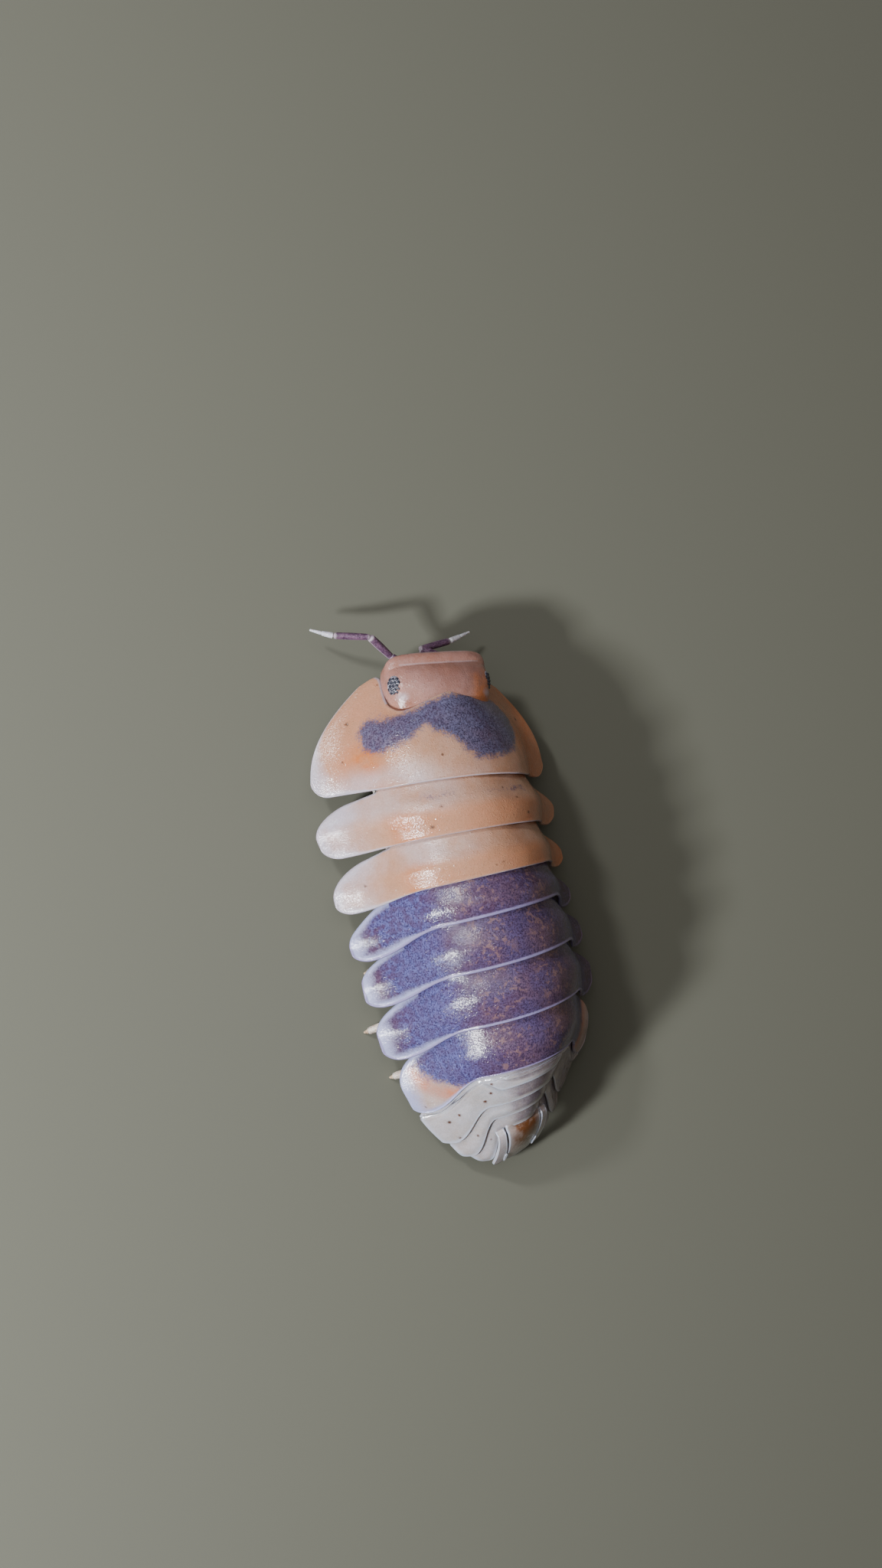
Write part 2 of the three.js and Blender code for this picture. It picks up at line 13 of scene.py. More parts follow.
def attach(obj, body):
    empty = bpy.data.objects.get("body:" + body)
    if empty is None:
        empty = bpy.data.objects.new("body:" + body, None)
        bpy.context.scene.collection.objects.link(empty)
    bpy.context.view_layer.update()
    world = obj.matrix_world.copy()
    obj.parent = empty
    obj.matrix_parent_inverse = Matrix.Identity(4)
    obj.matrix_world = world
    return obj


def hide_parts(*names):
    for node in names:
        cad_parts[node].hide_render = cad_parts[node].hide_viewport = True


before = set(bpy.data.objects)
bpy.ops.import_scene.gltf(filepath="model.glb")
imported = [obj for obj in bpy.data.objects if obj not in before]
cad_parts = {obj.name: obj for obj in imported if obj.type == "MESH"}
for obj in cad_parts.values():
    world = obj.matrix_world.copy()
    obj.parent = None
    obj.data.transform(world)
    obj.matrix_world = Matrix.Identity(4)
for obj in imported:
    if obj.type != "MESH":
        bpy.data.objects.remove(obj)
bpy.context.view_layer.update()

MM = 0.001
CENTRE = np.array([-0.183, -0.75, 0.0])     # the body frame's origin in the shared frame, mm
SIDES = (("left", 1.0), ("right", -1.0))

# Driving sizes of the body, the same as the solids'
PLATE_STEP = 0.15
PLATE_BULGE = 0.05
FLANK_SLOPE = 68.0
FLANK_PLACE = 0.62
FLARE_SLOPE = 42.0
KINK = 0.56

# step, x, height, heading, tilt, half, side, sweep for each rear rim
RIMS = np.array([
    (0, -0.72, 2.50, -12.5, 10, 1.50, 1.28, -0.86),
    (2.23, -0.32, 3.42, -11.0, 6, 3.42, 0.76, -0.08),
    (1.38, -0.20, 3.62, -8.0, 4, 3.41, 0.72, 0.06),
    (1.19, -0.13, 3.71, -5.0, 3, 3.40, 0.72, 0.22),
    (1.015, -0.12, 3.73, -3.0, 1, 3.30, 0.72, 0.49),
    (1.325, -0.13, 3.68, -1.5, -2, 3.32, 0.72, 0.48),
    (1.44, -0.10, 3.50, 0.0, -5, 3.19, 0.72, 0.55),
    (1.28, 0.06, 3.14, 2.0, -6, 2.62, 0.68, 0.78),
    (0.18, 0.16, 3.02, 3.0, -6, 2.44, 0.67, 0.78),
    (0.25, 0.21, 2.84, 4.0, -6, 2.24, 0.66, 0.80),
    (0.38, 0.25, 2.54, 6.0, -6, 1.88, 0.64, 0.85),
    (0.36, 0.25, 2.20, 8.0, -6, 1.46, 0.62, 0.95),
    (0.36, 0.22, 1.80, 10.0, -6, 1.00, 0.60, 0.85),
])
MIDDLE = 5.74                      # from the front margin back to the body frame's origin, mm
OPENING = 3.5                      # how soon the first plate opens out to its full width
SPINE = RIMS.copy()
SPINE[:, 0] = np.cumsum(RIMS[:, 0]) - MIDDLE
LAST_RIM = len(RIMS) - 1
Y, X, HEIGHT, HEADING, TILT, HALF, SIDE, SWEEP = range(8)


def smooth(x):
    x = np.clip(x, 0.0, 1.0)
    return x * x * (3 - 2 * x)


def ramp(x, start, width):
    """0 up to start, then a smooth rise to 1 over a width."""
    return smooth((x - start) / width)


def hump(x, centre, width):
    return np.exp(-((x - centre) / width) ** 2)


def mix(a, b, t):
    return a + (b - a) * t


def spline(a, b, c, d, t):
    """A smooth curve from b (t = 0) to c (t = 1), with a before them and d after them."""
    return (b + 0.5 * t * (c - a) + t ** 2 * (a - 2.5 * b + 2 * c - 0.5 * d)
            + t ** 3 * (1.5 * b - 0.5 * a - 1.5 * c + 0.5 * d))


def ease_in(t, start, end):
    """Rounds an outline: 1 inside, falling to 0 along a quarter ellipse between start and end."""
    x = np.clip((t - start) / (end - start), 0, 1)
    return np.sqrt(np.clip(1 - x * x, 0, 1))


# Unit cross-section
SECTION_STEPS = 160
_mid = (np.arange(SECTION_STEPS) + 0.5) / SECTION_STEPS
_rise = FLANK_SLOPE * (np.minimum(_mid, FLANK_PLACE) / FLANK_PLACE) ** 0.85
_flare = mix(FLANK_SLOPE, FLARE_SLOPE, smooth((_mid - FLANK_PLACE) / (1 - FLANK_PLACE)))
_slope = np.radians(np.where(_mid < FLANK_PLACE, _rise, _flare))
SECTION_Q = np.linspace(0, 1, SECTION_STEPS + 1)
SECTION_ACROSS = np.concatenate([[0], np.cumsum(np.cos(_slope))])
SECTION_DOWN = np.concatenate([[0], np.cumsum(np.sin(_slope))])
SECTION_ACROSS /= SECTION_ACROSS[-1]
SECTION_DOWN /= SECTION_DOWN[-1]


def section_at(q):
    a = np.interp(np.abs(q), SECTION_Q, SECTION_ACROSS)
    return np.sign(q) * a, np.interp(np.abs(q), SECTION_Q, SECTION_DOWN)


def rim_at(s):
    """All rim values at places s, as an array with the values last."""
    s = np.asarray(s, float)
    i = np.clip(np.floor(s).astype(int), 0, LAST_RIM - 1)
    t = (s - i)[..., None]
    b = SPINE[i]
    c = SPINE[i + 1]
    a = np.where((i == 0)[..., None], 2 * b - c, SPINE[np.maximum(i - 1, 0)])
    d = np.where((i == LAST_RIM - 1)[..., None], 2 * c - b, SPINE[np.minimum(i + 2, LAST_RIM)])
    out = spline(a, b, c, d, t)
    ease = mix(SPINE[0], SPINE[1], 1 - (1 - np.clip(t, -0.2, 1)) ** OPENING)
    keys = [HALF, SIDE, SWEEP]
    out[..., keys] = np.where((s < 1)[..., None], ease[..., keys], out[..., keys])
    return out


def from_rim(rim, across, back, up):
    tilt = np.radians(rim[..., TILT])
    heading = np.radians(rim[..., HEADING])
    y = back * np.cos(tilt) - up * np.sin(tilt)
    z = back * np.sin(tilt) + up * np.cos(tilt)
    return np.stack([
        rim[..., X] + across * np.cos(heading) - y * np.sin(heading),
        rim[..., Y] + across * np.sin(heading) + y * np.cos(heading),
        rim[..., HEIGHT] + z,
    ], -1)


def depth_of(rim):
    return (rim[..., HEIGHT] - rim[..., SIDE]) / np.cos(np.radians(rim[..., TILT]))


def shell(s, q):
    rim = rim_at(s)
    across, down = section_at(q)
    swept = rim[..., SWEEP] * smooth((np.abs(q) - 0.4) / 0.5)
    return from_rim(rim, across * rim[..., HALF], swept, -down * depth_of(rim))


def unit(v):
    return v / np.maximum(np.linalg.norm(v, axis=-1, keepdims=True), 1e-12)


def shell_normal(s, q):
    step = 0.01
    along = shell(s + step, q) - shell(s - step, q)
    side = shell(s, np.minimum(q + step, 1)) - shell(s, np.maximum(q - step, -1))
    return unit(np.cross(side, along))


def side_weight(q, start, end):
    return smooth((np.abs(q) - start) / (end - start))


def corner(q, start):
    x = np.clip((np.abs(q) - start) / (1 - start), 0, 1)
    return 1 - np.sqrt(1 - x * x * 0.96)


def lengths(points):
    """Running length along the first axis of points."""
    steps = np.linalg.norm(np.diff(points, axis=0), axis=-1)
    return np.concatenate([np.zeros((1,) + steps.shape[1:]), np.cumsum(steps, axis=0)])


# Repeatable smooth noise for forms and for where markings lie, in millimetres
def lattice(cells, seed):
    h = np.zeros(cells.shape[:-1], np.uint64) + np.uint64(seed * 7919 + 17)
    for k in range(cells.shape[-1]):
        h = (h ^ (cells[..., k].astype(np.int64).astype(np.uint64) * np.uint64(0x9E3779B97F4A7C15)))
        h = (h ^ (h >> np.uint64(29))) * np.uint64(0xBF58476D1CE4E5B9)
        h = h ^ (h >> np.uint64(32))
    return (h >> np.uint64(11)).astype(float) / float(1 << 53) * 2 - 1


def noise(points, size, seed):
    p = np.asarray(points, float) / size
    base = np.floor(p)
    f = p - base
    w = smooth(f)
    total = 0.0
    for bits in range(1 << p.shape[-1]):
        pick = np.array([(bits >> k) & 1 for k in range(p.shape[-1])])
        weight = np.prod(np.where(pick, w, 1 - w), axis=-1)
        total = total + weight * lattice(base + pick, seed)
    return total


def inside(polygon, x, y, sx, sy):
    """Signed distance to a closed polygon, positive inside, with the two axes scaled."""
    poly = np.asarray(polygon, float) * [sx, sy]
    px = np.asarray(x, float)[..., None] * sx
    py = np.asarray(y, float)[..., None] * sy
    a = poly
    b = np.roll(poly, -1, axis=0)
    dx, dy = (b - a).T
    t = np.clip(((px - a[:, 0]) * dx + (py - a[:, 1]) * dy) / (dx * dx + dy * dy), 0, 1)
    near = np.hypot(px - a[:, 0] - t * dx, py - a[:, 1] - t * dy).min(-1)
    crosses = (a[:, 1] > py) != (b[:, 1] > py)
    cut = a[:, 0] + (py - a[:, 1]) * dx / np.where(np.abs(dy) < 1e-12, 1e-12, dy)
    within = (np.sum(crosses & (px < cut), axis=-1) % 2) == 1
    return np.where(within, near, -near)


# Meshes
def make(name, points, faces, material, slot, attributes, replaces):
    """A mesh piece from points in the body frame (mm); faces are arrays of corner indices."""
    points = (np.asarray(points, float).reshape(-1, 3) - CENTRE) * MM
    mesh = bpy.data.meshes.new(name)
    loops = np.concatenate([f.reshape(-1) for f in faces]).astype(np.int32)
    sizes = np.concatenate([np.full(len(f), f.shape[1], np.int32) for f in faces])
    mesh.vertices.add(len(points))
    mesh.vertices.foreach_set("co", points.ravel())
    mesh.loops.add(len(loops))
    mesh.loops.foreach_set("vertex_index", loops)
    mesh.polygons.add(len(sizes))
    mesh.polygons.foreach_set("loop_start", np.concatenate([[0], np.cumsum(sizes)[:-1]]).astype(np.int32))
    mesh.polygons.foreach_set("loop_total", sizes)
    mesh.update(calc_edges=True)
    for key, values in attributes.items():
        layer = mesh.attributes.new(key, "FLOAT", "POINT")
        layer.data.foreach_set("value", np.full(len(points), values, np.float32))
    mesh.polygons.foreach_set("use_smooth", np.ones(len(sizes), bool))
    mesh.validate()
    piece = bpy.data.objects.new(name, mesh)
    bpy.context.scene.collection.objects.link(piece)
    mesh.materials.append(material)
    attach(piece, "root")
    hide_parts(*replaces)


def grid_faces(rows, cols, closed=False):
    r = np.arange(rows - 1)[:, None] * cols
    c = np.arange(cols if closed else cols - 1)[None, :]
    n = (c + 1) % cols
    return np.stack([r + c, r + n, r + cols + n, r + cols + c], -1).reshape(-1, 4)


def tube_faces(rows, cols):
    """Faces of a tube of rings, closed by two end points that come after the rings' own points."""
    n = rows * cols
    k = np.arange(cols)
    after = (k + 1) % cols
    return [grid_faces(rows, cols, closed=True), np.stack([np.full(cols, n), after, k], -1),
            np.stack([np.full(cols, n + 1), n - cols + k, n - cols + after], -1)]


def join(parts):
    """One point list, face list and attribute set from several (points, faces, attributes)."""
    points, faces, attributes, start = [], [], {}, 0
    for p, f, a in parts:
        p = np.asarray(p).reshape(-1, 3)
        points.append(p)
        faces.extend(x + start for x in f)
        for key, value in a.items():
            attributes.setdefault(key, []).append(np.broadcast_to(value, (len(p),)))
        start += len(p)
    return np.concatenate(points), faces, {k: np.concatenate(v) for k, v in attributes.items()}


# Shell plates
EDGE_STEPS = np.array([0, 0.005, 0.012, 0.021, 0.033, 0.048, 0.066, 0.09, 0.12, 0.155])
SPACING, TAIL_SPACING = 0.045, 0.035    # between a plate's grid lines, mm
REACH = {8: 0.47, 9: 0.52}              # how far the first two tail plates reach down the section


def spaced(length, spacing):
    edge = EDGE_STEPS * min(1.0, 0.4 * length / EDGE_STEPS[-1])
    count = max(2, int(round((length - 2 * edge[-1]) / spacing)))
    middle = np.linspace(edge[-1], length - edge[-1], count + 1)[1:-1]
    return np.concatenate([edge, middle, (length - edge)[::-1]])


def plate_grid(front, rear, reach, spacing):
    """Places s and q of a plate's grid, with the distances in mm to its rear, front and side margins."""
    dense = np.linspace(-reach, reach, 801)
    run = lengths(shell(0.5 * (front(dense) + rear(dense)), dense))
    across = spaced(run[-1], spacing)
    q = np.interp(across, run, dense)
    side = np.minimum(across, run[-1] - across)
    t = np.linspace(0, 1, 25)[:, None]
    columns = lengths(shell(front(q) + t * (rear(q) - front(q)), np.broadcast_to(q, (25, len(q)))))
    length = columns[-1]
    longest = length.max()
    base = spaced(longest, spacing)
    n = len(EDGE_STEPS)
    edge = EDGE_STEPS[:, None] * np.minimum(1.0, 0.4 * length / EDGE_STEPS[-1])
    share = (base[n:-n] - base[n - 1]) / (longest - 2 * base[n - 1])
    middle = edge[-1] + share[:, None] * (length - 2 * edge[-1])
    from_rear = np.concatenate([edge, middle, (length - edge)[::-1]])
    s = rear(q) - (rear(q) - front(q)) * from_rear / length
    q = np.broadcast_to(q, s.shape)
    return s, q, from_rear, length - from_rear, np.broadcast_to(side, s.shape)


def sheet(points, normal, thick, depth, relief, follow, margins, fields):
    """A thin closed sheet on a grid, with rounded margins; returns points, faces and fields.

    It starts at a depth under the points and is as thick as thick. The relief raises its outside, and its
    underside follows a share of that. Margins are the distances in mm to each free edge.
    """
    r = thick / 2
    total = sum(np.clip(r - d, 0, None) ** 2 for d in margins)
    drop = r - np.sqrt(np.clip(r * r - np.minimum(total, r * r), 0, None))
    raised = relief * (1 - drop / r)
    outer = points - normal * (depth - raised + drop)[..., None]
    inner = points - normal * (depth - follow * raised + thick - drop)[..., None]
    rows, cols = points.shape[:2]
    count = rows * cols
    first = np.arange(count).reshape(rows, cols)
    second = first.copy()
    second[1:-1, 1:-1] += count
    quads = grid_faces(rows, cols)
    under = second.reshape(-1)[quads][:, ::-1]
    every = np.concatenate([outer.reshape(-1, 3), inner.reshape(-1, 3)])
    used = np.zeros(len(every), bool)
    used[quads] = True
    used[under] = True
    order = np.cumsum(used) - 1
    both = {k: np.concatenate([v.ravel(), v.ravel()])[used] for k, v in fields.items()}
    both["under"] = (np.arange(2 * count) >= count)[used]
    return every[used], [order[quads], order[under]], both


def plate(i):
    """The closed plate of segment i on the shell's envelope; returns points, faces and its fields."""
    s, q, back, fore, side = plate_grid(front_of(i), rear_of(i), REACH.get(i, 1.0),
                                        SPACING if i <= TRUNK_COUNT else TAIL_SPACING)
    return sheet(shell(s, q), shell_normal(s, q), thickness_of(i, q, back), depth_of_plate(i, s, q),
                 relief_of(i, s, q, back, fore, side), 1.0, (back, fore, side),
                 {"s": s, "q": q, "back": back, "fore": fore, "side": side})


TAIL_CORNER = 0.14
FRONT_CORNER, FRONT_START = 0.52, 0.80
REAR_CORNER, REAR_START = 0.25, 0.90
TAIL_START = 0.85
NOTCH = [0, 0, 0.16, 0.20, 0.19, 0.0, 0.05, 0.02]
TUCK = 0.16                        # how far a plate runs in under the rim before it, mm
PEACH_COUNT, TRUNK_COUNT, PLATE_COUNT = 3, 7, 12
# The bay that holds the head: how far back (s) the front margin lies at places q
BAY_Q = [-1.0, -0.86, -0.74, -0.58, -0.46, -0.34, -0.22, -0.09, 0.0, 0.10, 0.22, 0.34, 0.44, 0.58, 0.69,
         0.82, 0.94, 1.0]
BAY_S = [0.10, 0.03, 0.05, 0.095, 0.06, 0.01, -0.01, -0.012, 0.0, 0.025, 0.07, 0.145, 0.158, 0.128,
         0.085, 0.03, 0.012, 0.06]


def soft_interp(x, xs, ys):
    """Interpolation that is rounded at its knots."""
    return sum(0.2 * np.interp(x + shift, xs, ys) for shift in (-0.03, -0.015, 0, 0.015, 0.03))


def step_length(i):
    a, b = SPINE[i - 1], SPINE[i]
    return math.hypot(b[Y] - a[Y], b[HEIGHT] - a[HEIGHT])


def rear_of(i):
    """The rear rim of segment i as a place along the body, for each q."""
    if i == 0:
        return lambda q: soft_interp(q, BAY_Q, BAY_S)
    if i <= TRUNK_COUNT:
        return lambda q: i - REAR_CORNER * corner(q, REAR_START)
    if i == TRUNK_COUNT + 1:
        return lambda q: i - 1.1 * side_weight(q, 0.14, 0.40)
    if i == TRUNK_COUNT + 2:
        return lambda q: i - 2.1 * side_weight(q, 0.24, 0.50)
    return lambda q: i - 2 * TAIL_CORNER * corner(q, TAIL_START)


def rim_before(i):
    """The hindmost rim that covers the front of segment i, after the first."""
    if i <= TRUNK_COUNT + 1 or i > TRUNK_COUNT + 3:
        return lambda q: np.full(np.shape(q), i - 1.0)
    covers = [rear_of(k) for k in range(TRUNK_COUNT + 1, i)]
    return lambda q: np.maximum.reduce([np.full(np.shape(q), float(TRUNK_COUNT))] + [c(q) for c in covers])


def front_of(i):
    """The front margin of segment i, tucked in under the rim before it except near its free sides."""
    if i == 1:
        return rear_of(0)
    before = rim_before(i)
    tuck = TUCK / max(step_length(i), 0.2)
    free = (0.50, 0.62) if i <= PEACH_COUNT else (0.72, 0.95) if i <= TRUNK_COUNT else (0.90, 1.0)

    def front(q):
        out = before(q) - tuck * (1 - side_weight(q, *free))
        if i <= TRUNK_COUNT:
            out = out + NOTCH[i] * side_weight(q, KINK, 1.0) + FRONT_CORNER * corner(q, FRONT_START)
        else:
            out = out + TAIL_CORNER * corner(q, TAIL_START)
        return out
    return front


def depth_of_plate(i, s, q):
    """How deep plate i lies under the envelope: down at its front, under the rim before it."""
    trunk = i <= TRUNK_COUNT
    bulge = PLATE_BULGE * trunk * np.sin(np.pi * np.clip(s - (i - 1), 0, 1))
    if i == 1:
        return 0.02 - bulge
    length = step_length(i)
    beyond = (s - rim_before(i)(q)) * length
    fall = PLATE_STEP * (1.0 if trunk else 0.6) * (1 - smooth(beyond / min(0.7 * length, 0.8)))
    return fall + 0.25 * np.clip(-beyond, 0, None) - bulge


def thickness_of(i, q, back):
    """The thickness of plate i: thin on the back and at its rim, thicker in the flank."""
    thin, thick = (0.075, 0.19) if i <= TRUNK_COUNT else (0.06, 0.13)
    return mix(thin, thick, side_weight(q, 0.52, 0.72) * smooth(back / 0.4))


def relief_of(i, s, q, back, fore, side):
    """The raised rim and the faint unevenness of plate i."""
    bead = 0.008 if i <= PEACH_COUNT else 0.014 if i <= TRUNK_COUNT else 0.006
    width = 0.065 if i <= TRUNK_COUNT else 0.04
    edge = np.minimum(back, side)
    if i == 1:
        edge = np.minimum(edge, fore)
    lip = bead * (1 - smooth((edge - width * 0.6) / (width * 0.6)))
    groove = -0.35 * bead * np.exp(-((edge - 1.6 * width) / (0.35 * width)) ** 2)
    flat = np.stack([q * 5, s * 1.3], -1)
    waves = 0.010 * noise(flat, 0.8, 3 + i) + 0.005 * noise(flat, 0.3, 20 + i)
    return lip + groove + waves * smooth(edge / 0.3)


# Materials
def linear(rgb):
    """A colour of 0 to 255 as the values that the nodes take."""
    shares = [c / 255 for c in rgb]
    return tuple(c / 12.92 if c <= 0.04045 else ((c + 0.055) / 1.055) ** 2.4 for c in shares) + (1.0,)


class Look:
    """A material's node tree, written as expressions. Colours are three values from 0 to 255."""

    def __init__(self, name, rough=0.4, coat=0.0, coat_rough=0.2, subsurface=0.0, reach=0.0003, specular=0.5):
        self.material = bpy.data.materials.new(name)
        self.material.use_nodes = True
        self.tree = self.material.node_tree
        self.bsdf = self.tree.nodes["Principled BSDF"]
        values = {"Roughness": rough, "Coat Weight": coat, "Coat Roughness": coat_rough,
                  "Specular IOR Level": specular, "Subsurface Weight": subsurface,
                  "Subsurface Radius": (1.0, 0.6, 0.45), "Subsurface Scale": reach}
        for key, value in values.items():
            self.bsdf.inputs[key].default_value = value
        place = self.tree.nodes.new("ShaderNodeTexCoord")
        scale = self.tree.nodes.new("ShaderNodeVectorMath")
        scale.operation = "SCALE"
        scale.inputs["Scale"].default_value = 1 / MM
        self.tree.links.new(place.outputs["Object"], scale.inputs[0])
        self.mm = scale.outputs[0]

    def put(self, socket, value):
        """Links an output to a socket, or sets the socket to a number or a colour."""
        if isinstance(value, bpy.types.NodeSocket):
            self.tree.links.new(value, socket)
        else:
            socket.default_value = linear(value) if isinstance(value, tuple) else value

    def math(self, kind, *values):
        node = self.tree.nodes.new("ShaderNodeMath")
        node.operation = kind
        for socket, value in zip(node.inputs, values):
            self.put(socket, value)
        return node.outputs[0]

    def add(self, *values):
        total = values[0]
        for value in values[1:]:
            total = self.math("ADD", total, value)
        return total

    def mul(self, *values):
        total = values[0]
        for value in values[1:]:
            total = self.math("MULTIPLY", total, value)
        return total

    def around(self, x, amount):
        """A field from 0 to 1 as an amount round 0."""
        return self.mul(self.add(x, -0.5), amount)

    def step(self, x, low, high):
        """A smooth step from 0 at low to 1 at high, which may lie below low."""
        node = self.tree.nodes.new("ShaderNodeMapRange")
        node.interpolation_type = "SMOOTHSTEP"
        self.put(node.inputs["Value"], x)
        flip = low > high
        node.inputs["From Min"].default_value = min(low, high)
        node.inputs["From Max"].default_value = max(low, high)
        node.inputs["To Min"].default_value = float(flip)
        node.inputs["To Max"].default_value = float(not flip)
        return node.outputs["Result"]

    def attr(self, name):
        node = self.tree.nodes.new("ShaderNodeAttribute")
        node.attribute_name = name
        return node.outputs["Fac"]

    def noise(self, size, detail, rough, warp=0.0, offset=0.0):
        """Noise from about 0 to 1 with features of a size in mm."""
        node = self.tree.nodes.new("ShaderNodeTexNoise")
        where = self.mm
        if offset:
            shift = self.tree.nodes.new("ShaderNodeVectorMath")
            shift.operation = "ADD"
            shift.inputs[1].default_value = (offset, offset * 0.7, -offset)
            self.tree.links.new(self.mm, shift.inputs[0])
            where = shift.outputs[0]
        self.tree.links.new(where, node.inputs["Vector"])
        node.inputs["Scale"].default_value = 1 / size
        node.inputs["Detail"].default_value = detail
        node.inputs["Roughness"].default_value = rough
        node.inputs["Distortion"].default_value = warp
        return node.outputs["Fac"]

    def cells(self, size):
        node = self.tree.nodes.new("ShaderNodeTexVoronoi")
        self.tree.links.new(self.mm, node.inputs["Vector"])
        node.inputs["Scale"].default_value = 1 / size
        return node

    def specks(self, size, share, radius):
        """Round spots in a share of the cells of a size in mm; radius in cells."""
        cell = self.cells(size)
        pick = self.tree.nodes.new("ShaderNodeSeparateColor")
        self.tree.links.new(cell.outputs["Color"], pick.inputs[0])
        chosen = self.step(pick.outputs[0], share, share * 0.9)
        reach = self.mul(pick.outputs[1], radius)
        near = self.step(self.add(cell.outputs["Distance"], self.mul(reach, -1.0)), 0.05, -0.02)
        return self.mul(chosen, near)

    def blend(self, amount, a, b):
        node = self.tree.nodes.new("ShaderNodeMix")
        node.data_type = "RGBA"
        self.put(node.inputs["Factor"], amount)
        self.put(node.inputs[6], a)
        self.put(node.inputs[7], b)
        return node.outputs[2]

    def shade(self, colour, amount):
        """Multiplies a colour by a brightness."""
        node = self.tree.nodes.new("ShaderNodeVectorMath")
        node.operation = "SCALE"
        if isinstance(colour, tuple):
            node.inputs[0].default_value = linear(colour)[:3]
        else:
            self.put(node.inputs[0], colour)
        self.put(node.inputs["Scale"], amount)
        return node.outputs[0]

    def colour(self, value):
        self.put(self.bsdf.inputs["Base Color"], value)

    def rough(self, value):
        self.put(self.bsdf.inputs["Roughness"], value)

    def bump(self, height, distance):
        """Bump from a height field; distance in mm is the height of 1."""
        node = self.tree.nodes.new("ShaderNodeBump")
        node.inputs["Strength"].default_value = 1.0
        node.inputs["Distance"].default_value = distance * MM
        self.put(node.inputs["Height"], height)
        for normal in ("Normal", "Coat Normal"):
            self.tree.links.new(node.outputs["Normal"], self.bsdf.inputs[normal])


# Granules of the dark markings: two deep colours and two lighter ones
DEEP = ((52, 39, 67), (64, 43, 64), (94, 79, 116), (106, 82, 106))
SLATE = ((56, 48, 70), (64, 52, 68), (112, 107, 134), (116, 102, 122))
GREY = ((84, 68, 74), (92, 74, 74), (118, 106, 116), (128, 110, 110))
# The blue pair makes a painted sky sheen on the flanks, and on the first plate the dark patch's own blue tint
BLUE_LIGHT, BLUE_DEEP, RUDDY = (98, 104, 170), (42, 35, 72), (78, 50, 74)
MOTTLE = ((112, 88, 96), (148, 112, 108))
RIM_VIOLET, FLECK_BROWN, SPOT_BROWN = (140, 126, 170), (92, 58, 40), (84, 54, 40)


def cuticle(name, ground, ground_b, warm, pale, subsurface,
            granules=DEEP, mottled=False, pitted=1.0, soft=0.0):
    """The plates' finish: granular colour, markings, pale margins, flecks and a pitted gloss."""
    look = Look(name, coat=0.5, coat_rough=0.12, subsurface=subsurface, reach=0.00035, specular=0.28)
    broad = look.noise(0.9, 3, 0.55)
    middle = look.noise(0.22, 3, 0.6, offset=3.1)
    fine = look.noise(0.055, 3, 0.65, offset=7.7)
    grain = look.cells(0.045).outputs["Distance"]
    base = look.blend(look.step(look.add(broad, look.mul(middle, 0.4)), 0.5, 0.95), ground, ground_b)
    # warm tone: the plates' own orange, and on the far (right) side an orange painted shade
    glow = look.mul(look.attr("warm"), look.step(look.add(broad, look.mul(middle, 0.5)), 0.35, 1.0))
    base = look.blend(glow, base, warm)
    # veil: a pale clouding laid where the cloud field asks; on the first plates that field is kept to the lit
    # near side, so it is partly painted light
    veil = look.step(look.add(look.noise(1.1, 2, 0.5, offset=41.0), look.mul(middle, 0.3)), 0.25, 1.05)
    base = look.blend(look.mul(look.attr("cloud"), veil), base, pale)
    base = look.shade(base, look.add(0.80, look.mul(fine, 0.24), look.mul(grain, 0.16)))
    # dark granular markings
    edge = look.add(look.attr("dark"), look.around(middle, 0.34), look.around(fine, 0.42))
    mask = look.step(edge, -0.10 - soft, 0.13 + soft)
    dots = look.step(look.add(fine, look.mul(grain, 0.4)), 0.42, 0.92)
    deep = look.blend(look.step(look.noise(0.5, 2, 0.5, offset=11.0), 0.35, 0.7), granules[0], granules[1])
    light = look.blend(look.step(look.noise(0.7, 2, 0.5, offset=5.0), 0.4, 0.65), granules[2], granules[3])
    # blue granules: on the flanks a painted sky sheen near the highlights, on the first plate the patch's own
    # tint
    light = look.blend(look.mul(look.attr("blue_tint_and_sheen"), 0.7), light, BLUE_LIGHT)
    deep = look.blend(look.mul(look.attr("blue_tint_and_sheen"), 0.7), deep, BLUE_DEEP)
    purple = look.blend(dots, deep, light)
    ruddy = look.mul(look.attr("ruddy"), look.step(look.noise(0.16, 2, 0.5, offset=2.0), 0.4, 0.6))
    purple = look.blend(ruddy, purple, RUDDY)
    if mottled:
        blot = look.noise(0.15, 2, 0.55, warp=0.4, offset=17.0)
        vein = look.noise(0.12, 2, 0.5, warp=1.2, offset=23.0)
        amount = look.mul(look.attr("mottle"), look.step(look.add(blot, look.mul(vein, 0.5)), 0.78, 0.92))
        purple = look.blend(look.mul(amount, 0.78), purple, look.blend(fine, *MOTTLE))
    base = look.blend(mask, base, purple)
    # pale translucent margins
    wave = look.add(look.attr("pale"), look.around(middle, 0.30), look.around(fine, 0.22))
    base = look.blend(look.step(wave, 0.25, 0.85), base, pale)
    base = look.blend(look.mul(look.attr("rim"), 0.8), base, look.blend(mask, pale, RIM_VIOLET))
    # small brown flecks, and larger ones where they were seen
    flecks = look.specks(0.42, 0.16, 0.11)
    base = look.blend(look.mul(flecks, look.attr("fleck"), 0.8), base, FLECK_BROWN)
    look.colour(look.blend(look.attr("spot"), base, SPOT_BROWN))
    look.rough(look.add(0.10, look.mul(fine, 0.12)))
    pits = look.cells(0.033).outputs["Distance"]
    beads = look.step(look.noise(0.05, 1, 0.5, offset=53.0), 0.56, 0.74)
    height = look.add(look.mul(pits, 0.6), look.mul(look.noise(0.024, 2, 0.6, offset=31.0), 0.8),
                      look.mul(middle, 1.2), look.mul(beads, 0.9))
    look.bump(height, 0.0046 * pitted)
    return look.material


